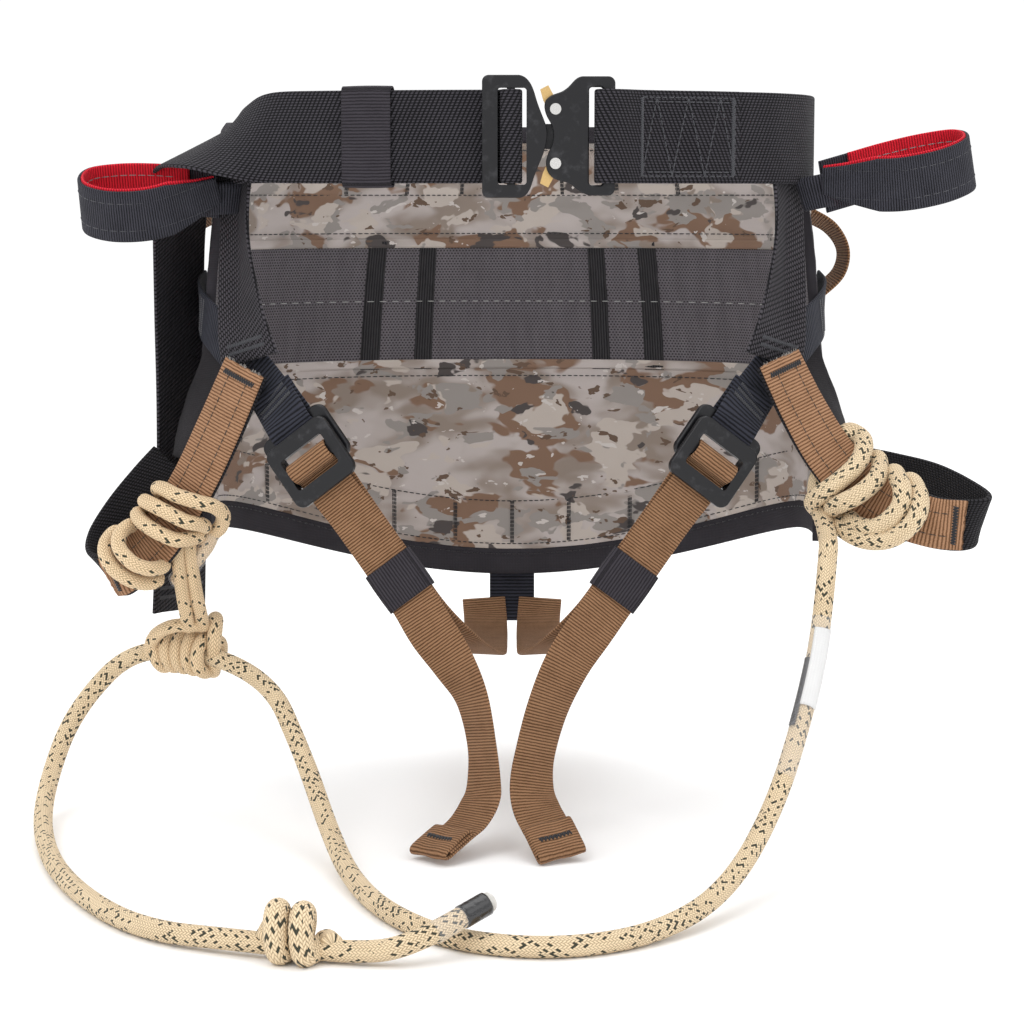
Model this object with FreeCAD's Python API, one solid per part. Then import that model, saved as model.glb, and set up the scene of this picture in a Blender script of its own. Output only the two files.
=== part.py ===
"""Tree climbing saddle: a sit harness of webbing and fabric, held in the shape it has when it is worn.

Millimetres. The origin is the middle of the wearer's waist at the height of the belt's centre line.
+Z is up, +X is the right of someone looking at the wearer's front, and the wearer faces -Y.
Straps are lists of stations (a centre and a direction), which webbing() joins into a flat band.
"""

import FreeCAD
import Part
import math
import os

Vec = FreeCAD.Vector
OUT = "parts"

# The wearer: half widths and half depths of the body at the waist and at the hips.
WAIST_HALF_WIDTH = 147.0
HIP_HALF_WIDTH = 160.0
BELLY_DEPTH = 96.0
WAIST_BACK_DEPTH = 98.0
HIP_BACK_DEPTH = 120.0
HIP_HEIGHT = -170.0
SQUARENESS = 2.4

# Webbing.
BELT_WIDTH = 45.0
BELT_THICKNESS = 2.2
SIDE_WIDTH = 32.0
STRAP_WIDTH = 25.0
STRAP_THICKNESS = 1.8
LEG_THICKNESS = 1.6
LINING_THICKNESS = 1.2
LAYER_GAP = 0.3

# Seat panel.
PANEL_TOP = 8.0
MESH_TOP = -56.0
MESH_BOTTOM = -125.0
PANEL_BOTTOM = -247.0
PANEL_RISE = 40.0
BINDING_HEIGHT = 15.0
PANEL_THICKNESS = 4.0
MESH_THICKNESS = 3.0
PANEL_FRONT_ANGLE = -9.0
ROW_WIDTH = 25.0
ROW_THICKNESS = 1.6

# Belt buckle.
BUCKLE_FRONT = -107.3
FRAME_THICKNESS = 5.0
PLATE_THICKNESS = 4.0
BACK_PLATE_THICKNESS = 1.8
TONGUE_THICKNESS = 2.0
RIVET_X = 21.0
RIVET_Z = 13.0
RIVET_RADIUS = 1.5
BAR_X = -0.5
BAR_Y = -104.8

# Leg buckle, seen along its own axes: d runs down the strap and n stands out from the leg.
LEG_BUCKLE_ORIGIN = Vec(97.0, -79.0, -160.0)
LEG_DOWN = Vec(-0.56, -0.20, -0.80)
LEG_OUT = Vec(0.30, -0.95, 0.0)
RING_D = -8.0
RING_N = 1.2
SLIDER_N = 7.6
LEG_FRAME_THICKNESS = 4.0
KEEPER_D = 73.0

# Rope.
ROPE_RADIUS = 4.75
CORD_RADIUS = 3.5
FLOOR = -350.0
TANGENT_SHARE = 0.45


# ---------------------------------------------------------------- helpers


def unit(v):
    return Vec(v).normalize()


def smooth(values, steps):
    """Points of a Catmull-Rom curve through the values, with that many steps from one to the next."""
    padded = [values[0] * 2 - values[1]] + list(values) + [values[-1] * 2 - values[-2]]
    out = []
    for i in range(1, len(padded) - 2):
        before, start, end, after = padded[i - 1 : i + 3]
        for k in range(steps):
            t = k / steps
            out.append(
                start
                + (end - before) * (0.5 * t)
                + (before * 2 - start * 5 + end * 4 - after) * (0.5 * t * t)
                + (start * 3 - before - end * 3 + after) * (0.5 * t * t * t)
            )
    return out + [values[-1]]


def tangents(points):
    last = len(points) - 1
    return [unit(points[min(i + 1, last)] - points[max(i - 1, 0)]) for i in range(last + 1)]


def frames(points, across):
    """The unit vectors along, across and out of a band at each of its points."""
    out = []
    for along, side in zip(tangents(points), across):
        side = unit(side - along * side.dot(along))
        out.append((along, side, unit(side.cross(along))))
    return out


def across_from(points, normals):
    """The across direction of a band that lies on a surface with these outward normals."""
    return [unit(t.cross(n)) for t, n in zip(tangents(points), normals)]


def webbing(points, across, width, thickness, steps=3, offset=0.0):
    """A flat band through the points. across is one direction, or one for each point."""
    if isinstance(across, FreeCAD.Vector):
        across = [across] * len(points)
    centres = smooth(points, steps)
    sections = []
    for centre, (_, side, out) in zip(centres, frames(centres, smooth(across, steps))):
        middle = centre + out * offset
        a, b = side * (width / 2), out * (thickness / 2)
        corners = [middle + a + b, middle - a + b, middle - a - b, middle + a - b]
        sections.append(Part.makePolygon(corners + corners[:1]))
    return Part.makeLoft(sections, True, True)


def mirrored(points, side):
    return [Vec(p.x * side, p.y, p.z) for p in points]


def body_size(z):
    """Half width and the half depths behind and in front of the wearer's body at a height."""
    share = math.sin(math.pi / 2 * min(1.0, max(0.0, z / HIP_HEIGHT)))
    width = WAIST_HALF_WIDTH + (HIP_HALF_WIDTH - WAIST_HALF_WIDTH) * share
    back = WAIST_BACK_DEPTH + (HIP_BACK_DEPTH - WAIST_BACK_DEPTH) * share
    return width, back, BELLY_DEPTH


def body_point(angle, z, offset=0.0):
    """A point on the wearer's body, pushed out by offset. 0 degrees is +X and 90 is the back."""
    width, back, front = body_size(z)
    c, s = math.cos(math.radians(angle)), math.sin(math.radians(angle))
    depth = back if s > 0 else front
    across_share = abs(c) / (width + offset)
    depth_share = abs(s) / (depth + offset)
    radius = (across_share**SQUARENESS + depth_share**SQUARENESS) ** (-1 / SQUARENESS)
    return Vec(radius * c, radius * s, z)


def curve(points):
    spline = Part.BSplineCurve()
    spline.interpolate(points)
    return spline.toShape()


def band(levels, first, last, inner, thickness, count=15):
    """Part of a shell round the body between two angles, through sections at those heights."""
    sections = []
    for z in levels:
        angles = [first + (last - first) * i / (count - 1) for i in range(count)]
        inside = [body_point(a, z, inner) for a in angles]
        outside = [body_point(a, z, inner + thickness) for a in angles]
        edges = [
            curve(inside),
            Part.makeLine(inside[-1], outside[-1]),
            curve(outside[::-1]),
            Part.makeLine(outside[0], inside[0]),
        ]
        sections.append(Part.Wire(edges))
    return Part.makeLoft(sections, True, False)


def prism_y(outline, front, thickness):
    """A plate parallel to XZ from its (x, z) outline. front is its -Y face."""
    points = [Vec(x, front, z) for x, z in outline]
    wire = Part.makePolygon(points + points[:1])
    return Part.Face(wire).extrude(Vec(0, thickness, 0))


def rounded(shape, radius, keep):
    """The shape with a fillet on each edge for which keep(edge) is true."""
    return shape.makeFillet(radius, [e for e in shape.Edges if keep(e)])


def runs_along_y(edge):
    a, b = edge.Vertexes[0].Point, edge.Vertexes[-1].Point
    return abs(a.x - b.x) < 1e-6 and abs(a.z - b.z) < 1e-6


def box(low, high):
    size = high - low
    return Part.makeBox(size.x, size.y, size.z, low)


def save(name, *solids):
    shape = solids[0] if len(solids) == 1 else Part.makeCompound(list(solids))
    for solid in shape.Solids:
        if not solid.isValid() or solid.Volume <= 0:
            print("not a good solid:", name)
    shape.exportStep(f"{OUT}/{name}.step")


def side_name(side):
    return "left" if side < 0 else "right"


# ---------------------------------------------------------------- seat panel


def bottom_edge(x, above=0.0):
    """Height of the seat panel's curved lower edge at x, or of a line that far above it."""
    return PANEL_BOTTOM + above + PANEL_RISE * (x / HIP_HALF_WIDTH) ** 2


def between_arcs(low, high):
    """A slab through the back between two lines parallel to the panel's lower edge."""
    xs = [-200 + 25 * i for i in range(17)]
    lower = [Vec(x, -80, bottom_edge(x, low)) for x in xs]
    upper = [Vec(x, -80, bottom_edge(x, high)) for x in xs]
    edges = [
        curve(lower),
        Part.makeLine(lower[-1], upper[-1]),
        curve(upper[::-1]),
        Part.makeLine(upper[0], lower[0]),
    ]
    return Part.Face(Part.Wire(edges)).extrude(Vec(0, 260, 0))


def seat_panel():
    first, last = PANEL_FRONT_ANGLE, 180 - PANEL_FRONT_ANGLE
    inner, skin = 0.5, 0.5 + PANEL_THICKNESS
    save("panel_upper", band([PANEL_TOP, -24, MESH_TOP], first, last, inner, PANEL_THICKNESS))
    mesh = band([MESH_TOP, -90, MESH_BOTTOM], first, last, inner, MESH_THICKNESS)
    save("panel_mesh", mesh)
    deep = [MESH_BOTTOM, -160, -205, -260]
    lower = band(deep, first, last, inner, PANEL_THICKNESS)
    save("panel_lower", lower.common(between_arcs(BINDING_HEIGHT, 300)))
    trim = band([-180, -205, -260], first, last, inner - 0.4, PANEL_THICKNESS + 0.8)
    save("panel_binding", trim.common(between_arcs(0, BINDING_HEIGHT)))
    top_trim = band([PANEL_TOP + 2, PANEL_TOP], first, last, inner, PANEL_THICKNESS)
    save("panel_top_tape", top_trim)
    ribs = []
    for angle in (53, 66, 114, 127):
        half = 2.4
        levels = [MESH_TOP, -90, MESH_BOTTOM]
        ribs.append(band(levels, angle - half, angle + half, inner + MESH_THICKNESS + 0.2, 1.2, 5))
    save("mesh_ribs", *ribs)
    gap = skin + 0.9
    upper_row = band([-3, -3 - ROW_WIDTH], 24, 156, gap, ROW_THICKNESS)
    save("gear_row_upper", upper_row)
    low_row = band([-160, -205, -260], 16, 164, gap, ROW_THICKNESS)
    above = BINDING_HEIGHT + 3
    save("gear_row_lower", low_row.common(between_arcs(above, above + ROW_WIDTH)))


def crotch_tab():
    """The short webbing at the middle of the back that holds the two leg straps."""
    points = [
        Vec(0, 127.0, -178),
        Vec(0, 128.6, -205),
        Vec(0, 129.2, -236),
        Vec(0, 128.0, -256),
        Vec(0, 124.5, -275),
    ]
    save("crotch_tab", webbing(points, Vec(1, 0, 0), 26.0, STRAP_THICKNESS))


# ---------------------------------------------------------------- waist belt


def belt_side(side, angles, offsets):
    """Belt stations round one hip. The angles are for the right side."""
    return mirrored([body_point(a, 0, o) for a, o in zip(angles, offsets)], side)


HIP_ANGLES = [20, 8, -4, -14, -24, -32, -40, -48]
HIP_OFFSETS = [9.4, 9.4, 9.2, 8.0, 5.6, 3.2, 1.7, 1.4]


def belt_fixed():
    """Right half: sewn to the hip, round the buckle's end bar and back over itself."""
    inner = belt_side(1, HIP_ANGLES, HIP_OFFSETS)
    turn = [
        (62, -93.5),
        (54, -98.2),
        (47, -101.9),
        (42.2, -102.6),
        (40.8, -105.8),
        (42.2, -109.0),
        (47.6, -110.1),
        (55.4, -105.5),
        (63, -98.6),
    ]
    outer = [body_point(a, 0, 4.0) for a in (-50, -42, -34)]
    points = inner + [Vec(x, y, 0) for x, y in turn] + outer
    save("belt_strap_fixed", webbing(points, Vec(0, 0, 1), BELT_WIDTH, BELT_THICKNESS, 2))


def belt_adjustable():
    """Left half: sewn to the hip, round the adjuster bar, back through the keeper, then hanging."""
    up = Vec(0, 0, 1)
    inner = belt_side(-1, HIP_ANGLES, HIP_OFFSETS) + [body_point(a, 0, 1.4) for a in (238, 250)]
    turn = [
        (-16, -97.3),
        (-8, -97.9),
        (-3, -99.6),
        (1, -101.5),
        (3.6, -103.4),
        (3.6, -106.2),
        (0.8, -108.2),
        (-2.4, -108.2),
        (-4.6, -106.6),
        (-4.9, -104.4),
        (-5.2, -102.6),
        (-6.6, -101.1),
        (-10, -100.4),
        (-18, -99.9),
    ]
    outer = [body_point(a, 0, 3.9) for a in (250, 240, 231)]
    free_end = [
        (Vec(-96, -86.6, 0), up),
        (Vec(-118, -79.0, 0), Vec(0.05, 0.15, 0.99)),
        (Vec(-138, -69.5, 1), Vec(0.25, 0.55, 0.80)),
        (Vec(-156, -57.0, 4), Vec(0.50, 0.76, 0.42)),
        (Vec(-169, -38.0, 5), Vec(0.64, 0.74, 0.16)),
        (Vec(-175, -16.0, -8), Vec(0.55, 0.83, 0.06)),
        (Vec(-176.5, -3.0, -42), Vec(0.48, 0.88, 0.04)),
        (Vec(-176, 3.0, -90), Vec(0.45, 0.89, 0)),
        (Vec(-176, 5.0, -140), Vec(0.45, 0.89, 0)),
        (Vec(-177, 6.0, -195), Vec(0.46, 0.88, 0)),
        (Vec(-179, 5.0, -249), Vec(0.50, 0.86, 0)),
    ]
    fixed = inner + [Vec(x, y, 0) for x, y in turn] + outer
    points = fixed + [p for p, _ in free_end]
    across = [up] * len(fixed) + [a for _, a in free_end]
    save("belt_strap_adjustable", webbing(points, across, BELT_WIDTH, BELT_THICKNESS, 2))


def tube_ring(centre, along, side, length, inner_width, inner_thickness, wall):
    """A rectangular sleeve round a strap, as an elastic keeper is."""
    along = unit(along)
    side = unit(side - along * side.dot(along))
    out = side.cross(along)
    faces = []
    for extra in (wall, 0.0):
        a = side * (inner_width / 2 + extra)
        b = out * (inner_thickness / 2 + extra)
        start = centre - along * (length / 2)
        corners = [start + a + b, start - a + b, start - a - b, start + a - b]
        faces.append(Part.Face(Part.makePolygon(corners + corners[:1])))
    return faces[0].extrude(along * length).cut(faces[1].extrude(along * length))


def belt_keeper():
    middle = body_point(232.5, 0, 2.65)
    ahead = body_point(236, 0, 2.65) - body_point(229, 0, 2.65)
    up = Vec(0, 0, 1)
    save("belt_keeper", tube_ring(middle, ahead, up, 25.0, BELT_WIDTH + 1.0, 5.8, 1.3))


# ---------------------------------------------------------------- belt buckle


def buckle_plate(segments, front, thickness):
    """A plate with a rounded front rim from runs of (x, z): 2 points a line, 3 an arc, more a curve."""
    edges = []
    for run in segments:
        points = [Vec(x, front, z) for x, z in run]
        if len(points) == 2:
            edges.append(Part.makeLine(*points))
        elif len(points) == 3:
            edges.append(Part.Arc(*points).toShape())
        else:
            edges.append(curve(points))
    plate = Part.Face(Part.Wire(edges)).extrude(Vec(0, thickness, 0))
    rim = [e for e in plate.Edges if abs(e.BoundBox.YMin - front) < 1e-4 and e.BoundBox.YLength < 1e-4]
    return plate.makeFillet(0.8, rim)


MALE_OUTLINE = [
    [(-14.5, -26.2), (-14.5, 26.0)],
    [(-14.5, 26.0), (-13.5, 28.4), (-11.2, 29.3)],
    [(-11.2, 29.3), (3.4, 29.3)],
    [(3.4, 29.3), (7.0, 27.6), (9.8, 23.6), (11.8, 17.6), (14.6, 10.0), (16.9, 2.6), (16.4, -3.6),
     (14.5, -10.0), (12.0, -16.0), (10.2, -21.0), (8.2, -26.2), (5.8, -28.8), (2.8, -29.5)],
    [(2.8, -29.5), (-11.2, -29.5)],
    [(-11.2, -29.5), (-13.5, -28.6), (-14.5, -26.2)],
]
FEMALE_OUTLINE = [
    [(49.8, -25.2), (49.8, 25.2)],
    [(49.8, 25.2), (48.8, 27.6), (46.4, 28.6)],
    [(46.4, 28.6), (34.0, 28.6)],
    [(34.0, 28.6), (30.8, 27.3), (27.4, 23.8), (23.6, 21.2), (19.2, 19.6), (16.2, 17.0), (15.7, 13.2),
     (17.3, 8.6), (19.4, 4.6), (20.0, 0.6), (19.5, -3.4), (17.8, -7.4), (16.5, -11.4), (16.9, -16.0),
     (19.6, -19.8), (23.6, -21.4), (27.6, -22.6), (31.0, -25.2), (34.6, -27.4), (38.6, -28.4)],
    [(38.6, -28.4), (46.4, -28.4)],
    [(46.4, -28.4), (48.8, -27.4), (49.8, -25.2)],
]


def buckle_male():
    """Frame with a slot for the adjuster bar, and a flat tongue that enters the other half."""
    frame = buckle_plate(MALE_OUTLINE, BUCKLE_FRONT, FRAME_THICKNESS)
    slot = box(Vec(-7, -120, -23.2), Vec(7, -90, 23.2))
    slot = rounded(slot, 1.5, runs_along_y)
    grooves = box(Vec(-3.2, BAR_Y - 1.8, -26.3), Vec(5.4, BAR_Y + 1.8, 26.3))
    outline = [(11, -6), (26.5, -6), (28, -8.5), (33, -8.5), (34, -7)]
    outline += [(34, 7), (33, 8.5), (28, 8.5), (26.5, 6), (11, 6)]
    tongue = prism_y(outline, BUCKLE_FRONT + FRAME_THICKNESS - 1.2, TONGUE_THICKNESS)
    save("buckle_male_frame", frame.cut(slot).cut(grooves).fuse(tongue).removeSplitter())
    bar = box(Vec(BAR_X - 2, BAR_Y - 1.5, -26), Vec(BAR_X + 2, BAR_Y + 1.5, 26))
    save("buckle_adjuster_bar", rounded(bar, 1.2, lambda e: e.Length > 40))


def buckle_female():
    """Front plate with the strap slot, back plate, and the two clips between them on rivets."""
    front = BUCKLE_FRONT - 0.5
    plate = buckle_plate(FEMALE_OUTLINE, front, PLATE_THICKNESS)
    slot = box(Vec(37.2, -120, -23.4), Vec(43.8, -90, 23.4))
    plate = plate.cut(rounded(slot, 1.5, runs_along_y))

    def strap_side(edge):
        middle = edge.CenterOfMass
        behind = middle.x > 49 and middle.y > front + 2
        return edge.Length > 40 and (abs(middle.x - 43.8) < 0.1 or behind)

    plate = rounded(plate, 1.2, strap_side)
    back_front = front + PLATE_THICKNESS + 2.6
    back = prism_y([(16.4, -18), (19.8, -5), (19.8, 5), (16.4, 17), (28, 23), (36.4, 25),
                    (36.4, -25), (28, -21)], back_front, BACK_PLATE_THICKNESS)
    lip = box(Vec(34.9, back_front - 2.6, -20), Vec(36.4, back_front, 20))
    solids = [plate, back.fuse(lip).removeSplitter()]
    rivets = []
    for z in (RIVET_Z, -RIVET_Z):
        depth = PLATE_THICKNESS + 2.6 + BACK_PLATE_THICKNESS
        pin = Part.makeCylinder(RIVET_RADIUS, depth, Vec(RIVET_X, front, z), Vec(0, 1, 0))
        solids = [s.cut(pin) for s in solids]
        for y, height in ((front - 0.9, 0.9), (front + depth, 0.6)):
            head = Part.makeCylinder(2.7, height, Vec(RIVET_X, y, z), Vec(0, 1, 0))
            pin = pin.fuse(head)
        rivets.append(pin.removeSplitter())
    save("buckle_front_plate", solids[0])
    save("buckle_back_plate", solids[1])
    save("buckle_rivets", *rivets)
    clip = [(22, 9.1), (27, 9.1), (27, 12), (24, 17), (20.5, 19), (17.5, 24.5), (13.6, 22.5)]
    clip += [(15, 17.5), (17.6, 12)]
    spring = [(28.2, 12.6), (33.8, 15.2), (33.6, 15.6), (28.2, 13.1)]
    springs = []
    for sign, name in ((1, "top"), (-1, "bottom")):
        shape = prism_y([(x, z * sign) for x, z in clip], front + PLATE_THICKNESS + 0.3, 2.0)
        low = Vec(RIVET_X, -120, RIVET_Z * sign)
        hole = Part.makeCylinder(RIVET_RADIUS + 0.05, 40, low, Vec(0, 1, 0))
        save(f"buckle_clip_{name}", shape.cut(hole))
        leaf = [(x, z * sign) for x, z in spring]
        springs.append(prism_y(leaf, front + PLATE_THICKNESS + 0.4, 1.8))
    save("buckle_clip_springs", *springs)


# ---------------------------------------------------------------- hips


def side_strap(side):
    """Wide webbing from the belt down the hip to where the loops and the leg strap meet."""
    stations = [
        (Vec(138.1, -45.2, -8), Vec(0.84, -0.54, 0)),
        (Vec(139.5, -46.8, -30), Vec(0.84, -0.54, 0)),
        (Vec(139.5, -51.5, -52), Vec(0.80, -0.60, 0)),
        (Vec(138.0, -57.5, -75), Vec(0.68, -0.73, 0)),
        (Vec(135.5, -63.5, -95), Vec(0.58, -0.81, 0)),
        (Vec(132.0, -66.5, -111), Vec(0.50, -0.86, 0)),
    ]
    points = mirrored([p for p, _ in stations], side)
    normals = mirrored([n for _, n in stations], side)
    across = across_from(points, normals)
    name = f"side_strap_{side_name(side)}"
    save(name, webbing(points, across, SIDE_WIDTH, BELT_THICKNESS))


def hip_wing(side):
    """Fabric gusset between the panel's edge, the junction of the straps and the bridge loop."""
    sections = []
    rows = [
        (-92, (143.6, -35.0), (149.4, -30.3), (154.8, -26.9)),
        (-112, (134.8, -49.8), (148.4, -37.2), (160.0, -26.6)),
        (-138, (150.5, -48.5), (163.0, -36.5), (171.0, -20)),
        (-163, (168, -42), (173, -34), (176.5, -22)),
    ]
    half = 1.0
    for z, front, middle, back in rows:
        arc = [Vec(x * side, y, z) for x, y in (front, middle, back)]
        out = unit(Vec((arc[2] - arc[0]).y, -(arc[2] - arc[0]).x, 0))
        inside = [p - out * half for p in arc]
        outside = [p + out * half for p in arc]
        edges = [
            curve(inside),
            Part.makeLine(inside[-1], outside[-1]),
            curve(outside[::-1]),
            Part.makeLine(outside[0], inside[0]),
        ]
        sections.append(Part.Wire(edges))
    save(f"hip_wing_{side_name(side)}", Part.makeLoft(sections, True, True))


def gear_loop(side):
    """Short webbing loop on the outside of the hip, open at the top and bottom."""
    points = [
        Vec(152.6, 37, -33),
        Vec(157.0, 37, -37.0),
        Vec(171.5, 37, -45),
        Vec(179.0, 37, -57),
        Vec(176.5, 37, -70),
        Vec(164.5, 37, -81),
        Vec(157.6, 37, -87),
    ]
    normals = [Vec(1, 0.2, 0)] * len(points)
    points, normals = mirrored(points, side), mirrored(normals, side)
    across = across_from(points, normals)
    shape = webbing(points, across, 20.0, ROW_THICKNESS)
    save(f"gear_loop_{side_name(side)}", shape)


def leg_axes(side):
    """The leg buckle's axes: down the strap, out from the leg, and across."""
    down = unit(mirrored([LEG_DOWN], side)[0])
    out = mirrored([LEG_OUT], side)[0]
    out = unit(out - down * out.dot(down))
    return down, out, unit(down.cross(out))


def leg_place(side, pairs):
    """Points of the row frame from (d, n) pairs in the leg buckle's axes."""
    down, out, _ = leg_axes(side)
    origin = mirrored([LEG_BUCKLE_ORIGIN], side)[0]
    return [origin + down * d + out * n for d, n in pairs]


def hip_strap(side):
    """From the panel's side under the wide strap to the leg ring, round its bar and back."""
    stations = [
        (Vec(163.0, 24, -80), Vec(1, 0.1, -0.1)),
        (Vec(164.0, 2, -84), Vec(1, -0.05, -0.1)),
        (Vec(161.0, -20, -90), Vec(0.93, -0.36, 0)),
        (Vec(151.0, -42, -98), Vec(0.78, -0.62, 0)),
        (Vec(137.8, -57.5, -109), Vec(0.56, -0.83, 0)),
        (Vec(124.0, -67.0, -125), Vec(0.42, -0.90, 0)),
    ]
    lead = [p for p, _ in stations]
    centre = RING_D - 12.0
    pairs = [(centre - 9, 5.4), (centre - 3, 6.6), (centre + 1, 6.6), (centre + 4.2, 5.3)]
    pairs += [(centre + 4.9, 3.2), (centre + 4.2, 0.8), (centre + 1, -0.4), (centre - 5, -0.4)]
    pairs += [(centre - 14, 0.4), (centre - 24, 0.2)]
    points = mirrored(lead, side) + leg_place(side, pairs)
    across = across_from(points[:6], mirrored([n for _, n in stations], side))
    across += [leg_axes(side)[2] * (1 if across[-1].dot(leg_axes(side)[2]) > 0 else -1)] * len(pairs)
    save(f"hip_strap_{side_name(side)}", webbing(points, across, STRAP_WIDTH, STRAP_THICKNESS))


# Lineman loops: a teardrop in a tilted plane, as (outward, depth) pairs from its two sewn ends.
LOOP_OUTLINE = [(0, -9), (14, -14), (34, -19), (54, -18), (68, -10), (71.5, 1), (66, 11), (50, 14),
                (32, 12), (14, 7), (0, 3)]
LOOP_SIZE = {-1: 0.96, 1: 1.05}
LOOP_ROOT = {-1: Vec(-148.5, -50, -28.5), 1: Vec(158, -46, -25)}
LOOP_OUT = {-1: Vec(-1, -0.10, -0.05), 1: Vec(1, -0.06, 0.20)}
LOOP_DEPTH = {-1: Vec(0, 0.90, 0.44), 1: Vec(0, 0.95, 0.30)}


def loop_points(side):
    """Stations of a lineman loop, and the direction across its webbing."""
    outward = unit(LOOP_OUT[side])
    depth = LOOP_DEPTH[side]
    depth = unit(depth - outward * depth.dot(outward))
    points = [LOOP_ROOT[side] + outward * (a * LOOP_SIZE[side]) + depth * b for a, b in LOOP_OUTLINE]
    return points, unit(outward.cross(depth)) * side


def lineman_loop(side):
    points, across = loop_points(side)
    name = side_name(side)
    save(f"lineman_loop_{name}", webbing(points, across, STRAP_WIDTH, STRAP_THICKNESS))
    lining = points[1:-1]
    inward = (STRAP_THICKNESS + LINING_THICKNESS) / 2 + 0.15
    probe = frames(points, [across] * len(points))[2][2]
    towards_middle = 1 if probe.dot(points[8] - points[2]) > 0 else -1
    shape = webbing(lining, across, STRAP_WIDTH - 1.5, LINING_THICKNESS, 3, inward * towards_middle)
    save(f"lineman_lining_{name}", shape)


# Bridge loops: stations (centre, outward normal) from the junction to the tip and back behind.
BRIDGE_NEAR = {
    -1: [
        (Vec(-133.0, -71.5, -114), Vec(-0.50, -0.86, 0)),
        (Vec(-147.5, -69.5, -146), Vec(-0.42, -0.90, 0)),
        (Vec(-162.0, -66.0, -175), Vec(-0.38, -0.92, 0.10)),
        (Vec(-180.5, -60.5, -203), Vec(-0.35, -0.92, 0.15)),
        (Vec(-198.5, -55.5, -221), Vec(-0.30, -0.93, 0.15)),
    ],
    1: [
        (Vec(133.0, -71.5, -110), Vec(0.50, -0.86, 0)),
        (Vec(146.0, -75.5, -136), Vec(0.42, -0.90, -0.10)),
        (Vec(160.5, -83.0, -159), Vec(0.35, -0.90, -0.20)),
        (Vec(180.0, -95.0, -178), Vec(0.30, -0.92, -0.25)),
        (Vec(204.0, -105.5, -187), Vec(0.15, -0.97, -0.15)),
    ],
}
BRIDGE_TIP = {
    -1: [
        (Vec(-210.5, -51.0, -227), Vec(-0.80, -0.35, -0.50)),
        (Vec(-214.5, -42.0, -223), Vec(-0.80, 0.50, -0.30)),
    ],
    1: [
        (Vec(222.0, -108.0, -189), Vec(0.45, -0.88, -0.10)),
        (Vec(232.0, -101.0, -186), Vec(0.97, 0.10, -0.20)),
    ],
}
BRIDGE_FAR = {
    -1: [
        (Vec(-209.0, -32.0, -209), Vec(-0.30, 0.93, -0.10)),
        (Vec(-199.5, -26.5, -192), Vec(-0.10, 0.97, 0)),
        (Vec(-188.0, -23.5, -178), Vec(0.10, 0.98, 0.10)),
        (Vec(-178.0, -24.0, -167), Vec(0.30, 0.90, 0.10)),
    ],
    1: [
        (Vec(226.0, -88.0, -181), Vec(0.75, 0.65, 0)),
        (Vec(212.5, -70.0, -175), Vec(0.70, 0.71, 0)),
        (Vec(196.0, -51.0, -172), Vec(0.68, 0.73, 0)),
        (Vec(181.0, -36.0, -170), Vec(0.66, 0.75, 0)),
    ],
}


def bridge_loop(side):
    near, tip, far = BRIDGE_NEAR[side], BRIDGE_TIP[side], BRIDGE_FAR[side]
    stations = near + tip + far
    points = [p for p, _ in stations]
    across = across_from(points, [n for _, n in stations])
    name = side_name(side)
    save(f"bridge_loop_{name}", webbing(points, across, STRAP_WIDTH, 3.0))
    sleeve = near + tip[:1]
    points = [p for p, _ in sleeve]
    across = across_from(points, [n for _, n in sleeve])
    out = frames(points, across)[0][2]
    outward = 1 if out.dot(near[0][1]) > 0 else -1
    lift = (3.0 + LEG_THICKNESS) / 2 + 1.7
    shape = webbing(points, across, STRAP_WIDTH - 1, LEG_THICKNESS, 3, lift * outward)
    save(f"bridge_sleeve_{name}", shape)


# ---------------------------------------------------------------- legs


def frame_plate(side, middle_d, low_n, half_width, half_length, slots):
    """A rounded rectangular frame in the leg buckle's axes, with rectangular slots."""
    down, out, across = leg_axes(side)

    def block(d0, d1, half, n0, n1, fillet):
        corners = leg_place(side, [(d0, n0), (d1, n0), (d1, n0), (d0, n0)])
        shift = [across * -half, across * -half, across * half, across * half]
        outline = [c + s for c, s in zip(corners, shift)]
        solid = Part.Face(Part.makePolygon(outline + outline[:1])).extrude(out * (n1 - n0))
        upright = [e for e in solid.Edges if abs(e.Length - (n1 - n0)) < 1e-6]
        return solid.makeFillet(fillet, upright)

    top = low_n + LEG_FRAME_THICKNESS
    plate = block(middle_d - half_length, middle_d + half_length, half_width, low_n, top, 5.0)
    rims = [e for e in plate.Edges if e.Length > 8]
    plate = plate.makeFillet(1.0, rims)
    for d0, d1, half in slots:
        plate = plate.cut(block(middle_d + d0, middle_d + d1, half, low_n - 1, top + 1, 1.5))
    return plate


def leg_buckle(side):
    """The ring on the black strap and the slider on the leg strap that hooks in front of it."""
    name = side_name(side)
    ring = frame_plate(side, RING_D, RING_N, 20.0, 15.0, [(-9, 9, 14.0)])
    save(f"leg_ring_{name}", ring)
    slider = frame_plate(side, 0.0, SLIDER_N, 19.0, 17.0, [(-8.7, -2.5, 13.3), (2.5, 8.7, 13.3)])
    save(f"leg_slider_{name}", slider)


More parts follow.
